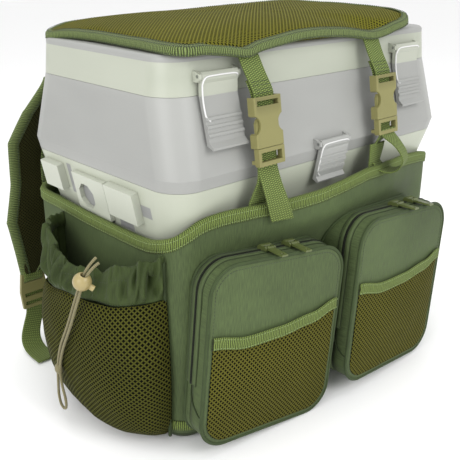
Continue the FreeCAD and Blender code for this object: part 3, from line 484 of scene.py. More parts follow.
OXFORD = plain_weave("oxford_green", (98, 115, 73), dark=0.74)
OXFORD_DARK = plain_weave("oxford_shade", (62, 76, 44))
COLLAR = plain_weave("collar_green", (74, 90, 46), dark=0.74)
TAPE = webbing("webbing_green", (142, 162, 88))
BINDING = ribbed("binding_green", (120, 138, 72))
PAD_BINDING = ribbed("pad_binding_green", (120, 136, 82))
MESH = air_mesh("mesh_olive", (97, 95, 36), (11, 14, 4), 4.9, open_share=0.62)
# painted shade: the side pocket's mesh is the front pockets' mesh, painted darker on the shaded side
SHADED_SIDE_MESH = air_mesh("mesh_side_painted_shade", (78, 79, 28), (7, 9, 2), 4.9, open_share=0.67)
# painted light: the seat's mesh is the same mesh as the pockets', painted brighter for the lit top
LIT_SEAT_MESH = air_mesh("mesh_seat_painted_light", (113, 111, 34), (19, 22, 5), 4.4, open_share=0.58, mapped=False)
STRAP_MESH = air_mesh("mesh_strap", (56, 56, 28), (12, 12, 5), 3.9)
GREY = moulded("plastic_grey", (178, 179, 175), 0.42, vary=0.02)
# pure white for the latch rims: a painted highlight along the latches' edges
HIGHLIGHT_WHITE = moulded("painted_highlight_white", (255, 255, 252), 0.22, vary=0.01)
STEEL = moulded("pin_metal", (170, 172, 170), 0.3, vary=0.05, Metallic=1.0)
# the tan buckles, the zip pulls and the toggle get a stronger painted highlight on their raised edges
TAN = moulded("buckle_tan", (138, 134, 84), 0.5, grain=1400.0, vary=0.06, edge_highlight=0.25, Specular_IOR_Level=0.3)
PULL = moulded("zip_pull_paint", (88, 98, 52), 0.35, vary=0.06, edge_highlight=0.4)
ZIP = webbing("zip_teeth", (30, 36, 22), 2.0, 1.6)
PIPE = plain_weave("piping_green", (74, 90, 54), pitch=1.4)
CORD = stranded("cord_braid", (140, 132, 92))
BALL_PAINT = moulded("toggle_tan", (176, 160, 108), 0.36, grain=300.0, vary=0.10, edge_highlight=0.2)
THREAD = stranded("thread_dark", (58, 72, 44), 0.9)
THREAD_PALE = stranded("thread_pale", (150, 172, 104), 0.9)


def repaint(paint, *nodes):
    """A CAD node keeps its shape and gets a finished material."""
    for node in nodes:
        slots = NODES[node].material_slots
        for slot in slots:
            slot.material = paint
        if not slots:
            NODES[node].data.materials.append(paint)


PALE_TONE, RECESS_SHADE_GREY = (212, 217, 198), (168, 169, 168)
# painted shade: grey boxes on the base's left end, in the leg socket's hollow and in the recesses round the lugs
PAINTED_RECESS_SHADE = [((-210, 4, 208), (-185, 36, 242)), ((-210, 48, 222), (-185, 56, 254)),
                ((-210, -48, 206), (-185, -25, 219)), ((-210, -83, 228), (-185, -68, 240))]
LATCH_TOP = [((None, None, 341), (None, None, None))]
PALE = tone_and_shade_patches("plastic_pale", PALE_TONE, RECESS_SHADE_GREY, 0.36, PAINTED_RECESS_SHADE)
LATCH = tone_and_shade_patches("plastic_latch", (178, 179, 175), (204, 208, 192), 0.34, LATCH_TOP)
repaint(PALE, "box_base")
repaint(moulded("plastic_band", (194, 199, 182), 0.36, vary=0.02), "lid_band")
repaint(moulded("plastic_plate", PALE_TONE, 0.36, vary=0.02), "leg_socket", "side_lugs")
repaint(GREY, "box_tray", "lid_cap", "latch_lower")
repaint(LATCH, "latch_left", "latch_right")
repaint(STEEL, "latch_pins_lid", "latch_pin_tray", "lid_hinge_pins")
for hand in ("left", "right"):
    repaint(TAN, f"buckle_socket_{hand}", f"buckle_plug_{hand}", f"ladder_lock_{hand}")
    for number in (1, 2):
        repaint(PULL, f"zip_slider_{hand}_{number}", f"zip_pull_{hand}_{number}")
repaint(BALL_PAINT, "toggle_ball", "toggle_button")
repaint(CORD, "cord_knot")


# ---- camera, floor and light

def aim(obj, place, way):
    """Puts a camera or a light at a place in m, facing a direction."""
    obj.location = place
    obj.rotation_mode = "QUATERNION"
    obj.rotation_quaternion = Vector(way).to_track_quat("-Z", "Y")


CAMERA_AZIMUTH, CAMERA_HEIGHT = radians(-42.64), radians(21.42)
scene = bpy.context.scene
camera = add("camera", bpy.data.cameras.new("camera"))
camera.data.lens, camera.data.sensor_width = 56.17, 36.0
aim(camera, (-0.55831, -0.58044, 0.45855), (
    -sin(CAMERA_AZIMUTH) * cos(CAMERA_HEIGHT), cos(CAMERA_AZIMUTH) * cos(CAMERA_HEIGHT),
    -sin(CAMERA_HEIGHT)))
scene.camera = camera

floor_paint = Paint("studio_floor", (0.93, 0.93, 0.93, 1), 0.6).mat
corners = [(x * 6000, y * 6000, -0.6) for x, y in ((-1, -1), (1, -1), (1, 1), (-1, 1))]
floor = mesh("studio_floor", corners, [[0, 1, 2, 3]], floor_paint)
scene.world = bpy.data.worlds.new("studio")
scene.world.use_nodes = True
scene.world.node_tree.nodes["Background"].inputs[0].default_value = (1, 1, 1, 1)
scene.world.node_tree.nodes["Background"].inputs[1].default_value = 1.0
scene.view_settings.view_transform = "Standard"


def softbox(name, place, size, watts):
    """A square light that faces the middle of the stage; place and size are in m."""
    light = add(name, bpy.data.lights.new(name, "AREA"))
    light.data.shape, light.data.size, light.data.energy = "SQUARE", size, watts
    aim(light, place, Vector((0, 0, 0.2)) - Vector(place))


softbox("key", (0.25, -1.7, 1.25), 0.9, 16.5)
softbox("fill", (-1.7, -0.5, 0.9), 1.1, 14.5)
softbox("top", (-0.2, 0.3, 1.9), 1.2, 8)


# ---- the drawcord

def nurbs_cord(name, points, diameter, paint):
    """A round cord along points; lengths are in m."""
    curve = bpy.data.curves.new(name, "CURVE")
    curve.dimensions = "3D"
    curve.bevel_depth, curve.bevel_resolution, curve.use_fill_caps = diameter / 2, 4, True
    line = curve.splines.new("NURBS")
    line.points.add(len(points) - 1)
    for spot, p in zip(line.points, points):
        spot.co = (*p, 1)
    line.order_u, line.use_endpoint_u, line.resolution_u = 3, True, 12
    curve.materials.append(paint)
    return add(name, curve)


CORD_ROUTE = [
    (-0.245, -0.066, 0.195), (-0.25718, -0.06472, 0.19028), (-0.26212, -0.05104, 0.15517),
    (-0.263, -0.035, 0.122), (-0.263, -0.016, 0.091), (-0.2625, -0.0052, 0.064), (-0.262, -0.0056, 0.044),
    (-0.261, -0.0096, 0.028), (-0.2605, -0.0076, 0.0145), (-0.2605, 0.0022, 0.014), (-0.261, 0.0052, 0.027),
    (-0.262, 0.0014, 0.043), (-0.2625, -0.0014, 0.064), (-0.263, -0.0115, 0.092), (-0.263, -0.031, 0.123),
    (-0.26212, -0.04768, 0.15648), (-0.25718, -0.06136, 0.19159), (-0.245, -0.062, 0.199)]
cord = nurbs_cord("drawcord_line", CORD_ROUTE, 0.0028, CORD)
stays(cord, "cord", "drawcord")


# ---- the bag

BAG_SIDE, BAG_FRONT, BAG_BACK = 202, -122, 132
UP, ALONG_X, ALONG_Y = (Vector(way) for way in ((0, 0, 1), (1, 0, 0), (0, 1, 0)))


def bow_of(x, z):
    """How far the bag's front stands out of its flat wall."""
    rise = min(1.0, max(0.0, (z - 160) / 48)) ** 1.25
    return 24 * rise * cos(pi / 2 * min(1, abs(x) / 176))


RIM_FRONT = np.array([(-203, 213), (-190, 223), (-183, 228), (-167, 233.5), (-148, 236.4), (-79, 235),
                      (-32, 235.6), (9, 239.6), (46, 242.4), (110, 240), (163, 234.5), (190, 228), (203, 223)])
RIM_SIDE = np.array([(-122, 213), (-105, 212), (-66, 208.5), (-24, 208.5), (39, 210.5), (132, 214)])


def rim_of(x, y):
    """The height of the bag's upper edge: it stands higher along the front than along the sides."""
    front = np.mean([np.interp(x + d, *RIM_FRONT.T) for d in (-8, -4, 0, 4, 8)])
    side = np.mean([np.interp(y + d, *RIM_SIDE.T) for d in (-8, 0, 8)])
    reach = 12 if x < 0 else 45
    return lerp(side, front, smooth((-94 + reach - y) / (reach + 16))) + 0.8 * wobble((x, y, 0), 40, 12)


BAG_RING = rounded(-BAG_SIDE, BAG_SIDE, BAG_FRONT, BAG_BACK, 28, 300)
BAG_OUT = outward(BAG_RING)
PLACES = range(len(BAG_RING))


def bag_point(k, z, off=0.0):
    """A point of the bag's wall at place k of its ring, off mm outside it."""
    (x, y), (nx, ny) = BAG_RING[k], BAG_OUT[k]
    if y < -90:
        y -= bow_of(x, z) * smooth((-90 - y) / 30)
    off += smooth((110 - y) / 40) * (1.1 * wobble((x, y, z), 70, 3) + 0.5 * wobble((x, y, z * 0.5), 22, 9))
    return (x + nx * off, y + ny * off, z)


rows = [[bag_point(k, lerp(10, rim_of(*BAG_RING[k]) - 2.6, t)) for k in PLACES] for t in np.linspace(0, 1, 34)]
sleeve = grid("bag_shell", rows, OXFORD, closed_u=True)
stays(thicken(sleeve, 3), "bag_fabric", "bag_sleeve")

FOLDED = [(1.5, -12), (2.0, -6.5), (1.7, -1.4), (0.4, 0.5), (-3.2, 0.5), (-4.6, -1.4), (-4.8, -12), (-3.1, -12),
          (-3.1, -2.3), (0.05, -2.3), (0.1, -12)]
path = [bag_point(k, rim_of(*BAG_RING[k])) for k in PLACES]
sides = sideways(path)
path = [(x, y, z + 0.5 * wobble((x, y, z), 18, 5)) for x, y, z in path]
rim = sweep("bag_rim_tape", path, sides, UP, FOLDED[::-1], BINDING, closed=True)
stays(rim, "webbing", "rim_binding")
rows = beside(path, sides, ((1.9, -2.6), (1.85, -10.2)))
stays(seams("bag_rim_stitches", rows, THREAD_PALE), "webbing")

low_path = [bag_point(k, 19, 0.2) for k in PLACES]
BASE_TAPE = [(1.4, -5), (1.7, 0), (1.4, 5), (0, 5.2), (0, -5.2)]
low_tape = sweep("bag_base_tape", low_path, sideways(BAG_RING), UP, BASE_TAPE, BINDING, closed=True)
stays(low_tape, "webbing", "base_binding")
BASE_LEVELS = [(26, 0.2), (12, 0.0), (7, 1.2), (3.4, 4.6), (1.0, 9), (0.1, 14), (0.4, 14.3), (5, 14.3), (30, 13)]
rows = [[(x - nx * inset, y - ny * inset, z) for (x, y), (nx, ny) in zip(BAG_RING, BAG_OUT)]
        for inset, z in BASE_LEVELS]
base = grid("bag_base", rows, OXFORD_DARK, closed_u=True, caps=True)
stays(base, "bag_fabric", "base_pan")


# ---- padded pieces

def flat_map(obj, into=Matrix(), faces=None):
    """Lays the cloth's map flat along x and z in mm, for the first faces or for all of them."""
    data = obj.data
    layer = data.uv_layers["cloth"].data
    for poly in data.polygons[:faces]:
        for loop in poly.loop_indices:
            spot = into @ (data.vertices[data.loops[loop].vertex_index].co / MM)
            layer[loop].uv = (spot.x, spot.z)


def puff(obj, voxel, pressure, cap):
    """Swells a closed form like stuffed cloth: voxel remesh, cloth simulation of at most cap mm, subdivision."""
    even = obj.modifiers.new("even", "REMESH")
    even.mode, even.voxel_size, even.use_smooth_shade = "VOXEL", voxel * MM, True
    paint = obj.data.materials[0]
    settle(obj)
    if not obj.data.materials:
        obj.data.materials.append(paint)
    rest = np.array([v.co for v in obj.data.vertices])
    cloth = obj.modifiers.new("cloth", "CLOTH")
    cloth.settings.use_pressure = True
    cloth.settings.uniform_pressure_force = pressure
    cloth.settings.effector_weights.gravity = 0
    for number in range(1, 21):
        scene.frame_set(number)
    shown = obj.evaluated_get(bpy.context.evaluated_depsgraph_get())
    moved = np.array([v.co for v in shown.data.vertices]) - rest
    far = np.linalg.norm(moved, axis=1)[:, None]
    moved *= np.minimum(1, cap * MM / np.maximum(far, 1e-9))
    obj.modifiers.clear()
    obj.data.vertices.foreach_set("co", (rest + moved).astype(np.float32).ravel())
    scene.frame_set(1)
    round_off = obj.modifiers.new("round", "SUBSURF")
    round_off.levels = round_off.render_levels = 1
    settle(obj)
    obj.data.polygons.foreach_set("use_smooth", [True] * len(obj.data.polygons))


# ---- the seat pad and its flap

# the pad's edge: the straps pull it down at the front, and its rear left corner curls down on the lid
PAD_LINE = [(0, -118, 382), (22, -118, 380.5), (42, -118, 378), (58, -118.5, 375.5), (72, -119, 374.5),
            (90, -118.5, 376.5), (106, -118, 380), (125, -114.5, 382), (142, -107.5, 384), (156, -96, 387),
            (165, -78, 389), (171, -50, 390), (172, -10, 391), (172, 40, 391), (171, 80, 391), (163, 98, 391),
            (140, 104, 390.5), (89, 104, 389.5), (30, 104, 388), (-27, 104, 386.5), (-98, 104, 385.5),
            (-152, 104, 383.5), (-174, 103.5, 380), (-187, 96, 377.5), (-190, 83, 377.5), (-186, 65, 379.5),
            (-183, 40, 380.5), (-182, 10, 380.5), (-183, -25, 380.5), (-185, -60, 380.5), (-186.5, -92, 380),
            (-184, -108, 380), (-175, -117, 379.5), (-160, -119, 379.5), (-146, -118.5, 378), (-132, -118.5, 376),
            (-111, -119, 372.8), (-96, -118.5, 376), (-70, -118, 379.5), (-35, -118, 382.5)]
PAD_MIDDLE = (-8, -7)


def pad_row(edge, s, top):
    """One ring of the pad's form, a share s of the way out to its edge, on its top or its underside."""
    row = []
    for x, y, z in edge:
        if top:
            loose = 1.2 * wobble((x, y, 0), 90, 7) + 0.7 * wobble((x, y, 0), 34, 1)
            height = lerp(395, z + 2.6, s ** 3) + (1 - s) * loose
        else:
            turn_up = lerp(0.86, 0.94, smooth((z - 376) / 10))
            height = lerp(377.6, z - 2.6, smooth((s - turn_up) / (1 - turn_up)))
        row.append((lerp(PAD_MIDDLE[0], x, s), lerp(PAD_MIDDLE[1], y, s), height))
    return row


edge = [(x, y, z + 0.5 * wobble((x, y, 9), 26, 4)) for x, y, z in spline(PAD_LINE, 280, True)]
TOP_SHARES = (0.0, 0.12, 0.25, 0.38, 0.5, 0.62, 0.72, 0.8, 0.86, 0.91, 0.95, 0.98, 1.0)
UNDER_SHARES = (1.0, 0.98, 0.95, 0.92, 0.88, 0.8, 0.6, 0.3, 0.0)
rows = [pad_row(edge, s, True) for s in TOP_SHARES] + [pad_row(edge, s, False) for s in UNDER_SHARES]
pad = grid("seat_pad_form", rows, LIT_SEAT_MESH, closed_u=True, caps=True)
puff(pad, voxel=4.0, pressure=2.0, cap=2.5)
on(pad, "pad", "air_mesh", "seat_pad")

EDGE_FOLD = [(1.5, -2.9), (2.0, 0), (1.5, 2.7), (0.2, 3.8), (-6.2, 5.5), (-6.4, 4.4), (-0.6, 2.8), (-0.3, -2.6),
             (-6.2, -3.6), (-6.2, -4.4), (0.2, -3.6)]
sides = sideways(edge)
pad_tape = sweep("seat_pad_tape", edge, sides, UP, EDGE_FOLD[::-1], PAD_BINDING, closed=True)
on(pad_tape, "pad", "webbing", "seat_pad_binding")
rows = beside(edge, sides, ((-5.2, 5.7), (-0.2, 4.5), (2.0, -2.4)))
on(seams("seat_pad_stitches", rows, THREAD), "pad", "webbing")

FLAP_LINE = [(345, 112.4), (352, 111.9), (360, 111.6), (368, 111.5), (374, 111), (378, 109), (381.4, 104),
             (382.4, 98)]
rows = [[(x, y + 0.5 * wobble((x, y, z), 20, 8), z + 0.6 * wobble((x, 0, z), 30)) for x in range(-70, 71, 5)]
        for z, y in FLAP_LINE]
flap = grid("pad_rear_flap", rows, OXFORD, turn=True)
bends(thicken(flap, 1.6, 0), "lid", "pad", (0, 110, 374.5), (0, 110, 378.5), "bag_fabric", "pad_flap")


# ---- the two front straps

STRAP_WIDTH, STRAP_THICK = 25, 1.5


def ribbon(name, path, across, width=STRAP_WIDTH, thick=STRAP_THICK):
    """A band of webbing along a free path; across are the directions of its width."""
    up = [side.cross(way).normalized() for side, way in zip(across, ways(path))]
    return sweep(name, path, across, up, band_profile(width, thick), TAPE)


def web(name, x, yz, count, width=STRAP_WIDTH, thick=STRAP_THICK):
    """A band of webbing whose centre line is in a YZ plane at x."""
    return ribbon(name, spline([(x, y, z) for y, z in yz], count), [ALONG_X] * count, width, thick)


def hang_line(x, points):
    """Points (y, z) of a front strap's own frame, which leans 8 degrees forward from under the pad."""
    lean = radians(-8)
    return [(x, -125.5 + y * cos(lean) - z * sin(lean), 377 + y * sin(lean) + z * cos(lean)) for y, z in points]


def slant(z):
    """A front strap's top, under the pad, is 4 mm to the left of its buckle."""
    return -4 * smooth((z - 340) / 32)


def front_strap(hand, x, top):
    """The webbing from under the pad's edge, through the buckle's bar and back up behind itself."""
    bar = [(0.2, -38), (1.0, -44), (1.0, -49.2), (2.3, -51.6), (3.6, -49), (3.2, -40)]
    upper = [(-112, top + 10), (-114, top + 5), (-116.8, top), (-123.5, 353)]
    upper += [(y, z) for _, y, z in hang_line(x, bar)] + [(-124.2, 345), (-121.6, 350)]
    strap = web(f"strap_upper_{hand}", x, upper, 90)
    for v in strap.data.vertices:
        v.co.x += slant(v.co.z / MM) * MM
    bends(strap, "pad", f"strap_{hand}", (x, -124, 379.5), (x, -126.5, 371), "webbing", f"upper_strap_{hand}")
    lines = [[(x + slant(z) + dx, -124.5 - (353 - z) * 0.53, z) for dx in np.linspace(-10, 10, 4)]
             for z in (349, 346, 342.5, 339.5)]
    on(seams(f"strap_upper_{hand}_stitches", lines, THREAD, 2.4, 1.7), f"strap_{hand}", "webbing")


def turned(path, degrees, top, low):
    """Width directions that twist about the vertical from X at height top to an angle at height low."""
    angles = [radians(degrees) * smooth((top - z) / (top - low)) for _, _, z in path]
    return [Vector((cos(a), sin(a), 0)) for a in angles]


def lower_strap(hand, number, path, across, start, end, *nodes):
    band = ribbon(f"strap_lower_{hand}_{number}", path, across)
    bends(band, "rucksack", f"buckle_plug_{hand}", start, end, "webbing", *nodes)


LEFT_X, RIGHT_X = -104, 72
front_strap("left", LEFT_X, 367.5)
front_strap("right", RIGHT_X, 369.5)

# left: the sewn ply goes down behind the rim, and the free end slants over it
sewn = spline(hang_line(LEFT_X, [(1.4, -89), (1.9, -92), (2.25, -100)])
              + [(-105.5, -139.0, 262), (-107, -134, 247), (-108, -130.2, 236), (-108.5, -129.6, 222)], 80)
lower_strap("left", 1, sewn, [ALONG_X] * 80, (-107, -133, 224), (-105, -139, 265), "lower_strap_left")
free = spline(hang_line(LEFT_X, [(3.4, -96), (2.4, -104), (1.2, -110)])
              + [(-103, -143.6, 256), (-99.5, -145.6, 244), (-95, -145.8, 232), (-90, -145.6, 219)], 80)
lower_strap("left", 2, free, turned(free, -14, 262, 222), (-92, -143, 222), (-103, -145, 265))

# right: the end is turned up on itself into a round loop, with its width towards the near corner
LOOP_LINE = [(4, 272), (11, 266), (18, 257), (20.5, 248), (16, 239.5), (7, 235.5), (-2.5, 237), (-9.5, 244),
             (-12, 253), (-10, 263), (-4.5, 271), (-1, 276), (0.5, 281)]
loop = spline(hang_line(RIGHT_X, [(1.4, -89), (1.9, -92), (2.0, -98)])
              + [(RIGHT_X + along * 0.4, -143 - along * 0.95, z) for along, z in LOOP_LINE], 120)
lower_strap("right", 1, loop, turned(loop, 22, 281, 262), (72, -143, 232), (72, -143, 266), "lower_strap_right")
sewn = spline([(62, -138.5, 266), (61.5, -137.8, 254), (61.5, -136.4, 243), (62, -135.8, 230)], 30)
lower_strap("right", 2, sewn, turned(sewn, 10, 270, 240), (62, -136, 230), (62, -138, 264))


# ---- the two front pockets

HALF_W, HALF_H, FOLD = 81, 92, -32
WALL_START = 20.9   # the depth at which the fixed part of the side wall begins, behind the zip
FACE_SHARES = (0.0, 0.2, 0.4, 0.58, 0.72, 0.83, 0.9, 0.95, 0.985)
EDGE_LINE = [(-75, 14), (-40, 9), (0, 11), (40, 16), (75, 24)]
MESH_HALF, MESH_CORNER = 76, 24.2
POCKET_RING = rounded(-HALF_W, HALF_W, -HALF_H, HALF_H, 28, 220)
POCKET_OUT = outward(POCKET_RING)

# the zip runs round the ring above the fold, from its right end to its left
zip_start = next(i for i, (x, z) in enumerate(POCKET_RING) if z > FOLD and x > 0)
zip_count = sum(z > FOLD for _, z in POCKET_RING)
ZIP_LINE, ZIP_OUT = (np.roll(ring, -zip_start, axis=0)[:zip_count] for ring in (POCKET_RING, POCKET_OUT))


def face_y(x, z):
    """The pocket's front: it stands a little proud in the middle."""
    return -3 * max(0, 1 - (x / HALF_W) ** 2) * max(0, 1 - (z / HALF_H) ** 2) + 0.35 * wobble((x, 0, z), 30, 6)


def ring_rows(levels, seed):
    """Rings of a pocket's side wall: (inset, y) levels, with y a number or a function of x and z."""
    rows = []
    for inset, y in levels:
        row = []
        for (x, z), (nx, nz) in zip(POCKET_RING, POCKET_OUT):
            depth = y(x, z) if callable(y) else y
            loose = 0.5 * wobble((x, depth, z), 28, seed)
            row.append((x - nx * (inset - loose), depth, z - nz * (inset - loose)))
        rows.append(row)
    return rows


def round_line(y, inset):
    """A line round the pocket at depth y(x, z), inset from its edge."""
    return [(x - nx * inset, y(x, z), z - nz * inset) for (x, z), (nx, nz) in zip(POCKET_RING, POCKET_OUT)]


def front_pocket(hand, x0, front, z0, yaw, roll):
    """One front pocket; its own frame has x across, y into the bag and z up."""
    door = f"pocket_{hand}_door"
    place = (Matrix.Translation((x0, front, z0)) @ Matrix.Rotation(radians(yaw), 4, "Z")
             @ Matrix.Rotation(radians(roll), 4, "Y"))
    into = place.inverted()
    fold = [place @ Vector((0, 10, FOLD + reach)) for reach in (-5, 5)]

    def folds(obj, slot, *nodes):
        return bends(obj, "rucksack", door, *fold, slot, *nodes)

    def rear(x, z):
        """Where the side wall meets the bag's front."""
        at = place @ Vector((x, 40, z))
        way = (place.to_3x3() @ ALONG_Y).normalized()
        return 40 + (BAG_FRONT - bow_of(at.x, at.z) - at.y) / way.y

    def part_way(t):
        return lambda x, z: lerp(WALL_START, rear(x, z), t)

    rows = [[(x * s, face_y(x * s, z * s), z * s) for x, z in POCKET_RING] for s in FACE_SHARES]
    rows += ring_rows([(0.0, 0.9), (-0.5, 3), (-0.6, 7), (-0.7, 11), (-0.5, 15), (0.0, 20.1)], 3)
    shell = grid(f"pocket_{hand}_front", rows, OXFORD, closed_u=True, place=place, turn=True)
    flat_map(shell, into, len(FACE_SHARES) * len(POCKET_RING))
    folds(settle(thicken(shell, 2.2)), "bag_fabric", f"pocket_{hand}_door")

    levels = [(0.0, WALL_START)] + [(-0.8 + 0.8 * t, part_way(t)) for t in (0.2, 0.4, 0.6, 0.8, 1.0)]
    wall = grid(f"pocket_{hand}_wall", ring_rows(levels, 7), OXFORD, closed_u=True, place=place, turn=True)
    stays(settle(thicken(wall, 2.2)), "bag_fabric", f"pocket_{hand}_back")

    line = round_line(lambda x, z: 1.0, -0.6)
    folds(tube(f"pocket_{hand}_piping", line, 1.9, PIPE, True, place, 10, ALONG_Y), "bag_fabric")
    line = round_line(lambda x, z: rear(x, z) - 1.6, -0.4)
    stays(tube(f"pocket_{hand}_rear_piping", line, 1.6, PIPE, True, place, 8, ALONG_Y), "bag_fabric")
    line = round_line(lambda x, z: face_y(x, z) - 0.2, 4.4)
    folds(seams(f"pocket_{hand}_stitches", [line + line[:1]], THREAD, place=place), "bag_fabric")

    # the zip: tapes each side, the coil between them, and the seam that curves forward below its ends
    line, across = [(x, 0, z) for x, z in ZIP_LINE], [Vector((nx, 0, nz)) for nx, nz in ZIP_OUT]
    for name, low, high, attach, nodes in (("door_tape", 13.6, 20.0, folds, ()),
                                           ("wall_tape", 21.0, 27.0, stays, (f"pocket_{hand}_zip",))):
        profile = [(0.2, low), (1.5, low), (1.7, high), (0.2, high)]
        tape = sweep(f"zip_{hand}_{name}", line, across, ALONG_Y, profile, OXFORD, place=place)
        attach(tape, "zip_olive", *nodes)
    profile = [(1.1, 18.6), (2.1, 19.2), (2.4, 20.5), (2.1, 21.8), (1.1, 22.4)]
    stays(sweep(f"zip_{hand}_coil", line, across, ALONG_Y, profile, ZIP, place=place), "zip_olive")
    for name, y, attach in (("door", 13.0, folds), ("wall", 27.7, stays)):
        ditch = [(x + nx * 0.9, y, z + nz * 0.9) for (x, z), (nx, nz) in zip(ZIP_LINE, ZIP_OUT)]
        ditch = tube(f"zip_{hand}_{name}_seam", ditch, 0.7, OXFORD_DARK, False, place, 6, ALONG_Y)
        attach(ditch, "zip_olive")
    for name, side in (("l", -1), ("r", 1)):
        curve = spline([(side * 81.5, 20.5, FOLD), (side * 82, 19.5, FOLD - 9), (side * 82, 15, FOLD - 18),
                        (side * 81.8, 7, FOLD - 25), (side * 81.4, 2, FOLD - 27)], 30)
        end = tube(f"zip_{hand}_end_{name}", curve, 0.75, OXFORD_DARK, False, place, 8, ALONG_X)
        stays(end, "zip_olive")

    # the mesh panel and the webbing along its top
    rows = []
    for t in np.linspace(0, 1, 40):
        row = []
        for x in np.linspace(-MESH_HALF, MESH_HALF, 77):
            corner = max(0.0, abs(x) - 52)
            bottom = -87.5 + MESH_CORNER - sqrt(max(0, MESH_CORNER ** 2 - corner ** 2))
            z = lerp(bottom, curve_at(EDGE_LINE, x) + 3, t)
            slack = 2.6 * sin(pi * min(1, t * 1.05) ** 1.4) * (1 - (x / MESH_HALF) ** 4)
            row.append((x, face_y(x, z) - 1.1 - slack - 0.5 * wobble((x, 0, z), 24, 2), z))
        rows.append(row)
    panel = grid(f"pocket_{hand}_mesh", rows, MESH, place=place)
    flat_map(panel, into)
    settle(thicken(panel, 0.9))
    folds(panel, "air_mesh", f"pocket_{hand}_mesh_upper", f"pocket_{hand}_mesh_lower")
    edge = []
    for x in np.linspace(-77, 77, 70):
        z = curve_at(EDGE_LINE, x) + 6
        edge.append((x, face_y(x, z) - 2.0 - 1.2 * (1 - (x / 77) ** 4) + 0.3 * wobble((x, 0, 0), 20), z))
    tape = sweep(f"pocket_{hand}_tape", edge, UP, -ALONG_Y, band_profile(12.5, 1.8), BINDING, place=place)
    on(tape, door, "webbing", f"pocket_{hand}_mesh_edge")
    rows = [[(x, y - 1.1, z + dz) for x, y, z in edge] for dz in (-4.4, 4.4)]
    on(seams(f"pocket_{hand}_tape_stitches", rows, THREAD_PALE, place=place), door, "webbing")


front_pocket("left", -113, -161, 99, -6, 5.4)
front_pocket("right", 70, -174, 102, 1.7, 5.2)


# ---- the side pocket

SIDE_ROWS = [(7.5, 1), (4.2, 8), (3.2, 18), (4.2, 27), (8, 35), (15, 41), (26, 46), (42, 50), (62, 53), (84, 55),
             (104, 55.5), (124, 53.5), (140, 50)]
SIDE_WALL = -202.5
MESH_COUNT, COLLAR_COUNT = 110, 330


def seam_of(y):
    """The height of the seam between the side pocket's mesh and its collar."""
    return curve_at([(-108, 159), (-72, 153), (-20, 148), (30, 140), (74, 131)], y)


def hem_of(y):
    """The height of the collar's gathered upper edge."""
    return curve_at([(-106, 199), (-84, 192), (-52, 180), (-14, 174), (18, 180), (42, 196), (74, 197)], y)


def side_outline(depth, y0, y1, count, square):
    """The pocket's plan: out from the bag's wall at the front, round, and back to it at the rear."""
    middle, half = (y0 + y1) / 2, (y1 - y0) / 2
    points = []
    for turn in np.linspace(0, pi, 241):
        c, s = (copysign(abs(w) ** (2 / square), w) for w in (cos(turn), sin(turn)))
        points.append((SIDE_WALL - depth * abs(s), middle - half * c))
    return resample(points, count)


def flow_of(line):
    """Unit directions along a line seen from above."""
    flow = np.gradient(line, axis=0)
    return flow / np.linalg.norm(flow, axis=1)[:, None]


def held_at(x, reach):
    """0 at the bag's wall, 1 from reach mm out."""
    return smooth((SIDE_WALL - 1 - x) / reach)


def side_row(z_of, depth, spread):
    """One row of the side pocket's mesh, at heights z_of(y)."""
    line = side_outline(depth, -107 - spread, 70 + spread, MESH_COUNT, 2.6)
    row = []
    for (x, y), (fx, fy) in zip(line, flow_of(line)):
        z = z_of(y)
        puffed = held_at(x, 14) * (2.4 * wobble((x, y, z), 48, 11) + 1.0 * wobble((x, y, z), 20, 5))
        row.append((x - fy * puffed, y + fx * puffed, z))
    return row


def row_height(z, share, rise):
    """A mesh row's height at each y: it follows the seam by a share, and its ends rise."""
    return lambda y: lerp(z, z * seam_of(y) / 146, share) + rise * ((y + 34) / (73 if y < -34 else 104)) ** 2


TOP_Z = SIDE_ROWS[-1][0]
levels = [(z, depth, smooth((z - 60) / (TOP_Z - 60)), 9.0 * smooth((70 - z) / 60)) for z, depth in SIDE_ROWS]
rows = []
for t in np.linspace(0, len(levels) - 1, 46):
    i = min(int(t), len(levels) - 2)
    z, depth, share, rise = (lerp(a, b, t - i) for a, b in zip(levels[i], levels[i + 1]))
    spread = 3 * sin(pi * min(1, z / 150)) - 4 * smooth((16 - z) / 12)
    rows.append(side_row(row_height(z, share, rise), depth, spread))
rows.append(side_row(seam_of, 47, 0))
pocket_mesh = grid("side_pocket_bulge", rows, SHADED_SIDE_MESH)
settle(thicken(pocket_mesh, 1.4))
stays(pocket_mesh, "air_mesh", "side_pocket_mesh")

collar_rows = []
for t in np.linspace(0, 1, 26):
    depth = lerp(47, 41, smooth(t * 1.6)) + 2.5 * sin(pi * t)
    line = side_outline(depth, -106, 68, COLLAR_COUNT, 2.4)
    along = np.concatenate([[0], np.cumsum(np.linalg.norm(np.diff(line, axis=0), axis=1))])
    row = []
    for s, (x, y), (fx, fy) in zip(along, line, flow_of(line)):
        held = held_at(x, 8)
        lean = 5 * wobble((s, t * 20, 0), 40, 1)
        fold = (1.1 * sin(TAU * (s + lean * 1.6) / 24 + 1.1) + 0.8 * sin(TAU * (s - lean * 2) / 14.3)
                + 0.5 * sin(TAU * (s + 9 * t) / 7.9 + 2)) * (0.7 + 0.9 * wobble((s, 0, 0), 34, 3))
        size = 4.8 * smooth(t / 0.3) * lerp(1.0, 0.75, smooth((t - 0.7) / 0.3))
        sway = 2.6 * smooth(t / 0.4) * sin(TAU * (s + lean * 1.6) / 24 + 2.6)
        z = lerp(seam_of(y) + 0.3, hem_of(y), t) + 1.8 * t * fold
        calm = exp(-((y + 56) / 20) ** 2) if x < -225 else 0.0   # flat where the ball lock slides
        out = held * ((1 - 0.9 * calm) * (size * fold + 1.2 * sin(pi * t)) - 2.5 * calm)
        row.append((x - fy * out, y + fx * out + sway * held, z))
    collar_rows.append(row)
hem = collar_rows[-1]
inner = side_outline(38, -103, 65, COLLAR_COUNT, 2.4)
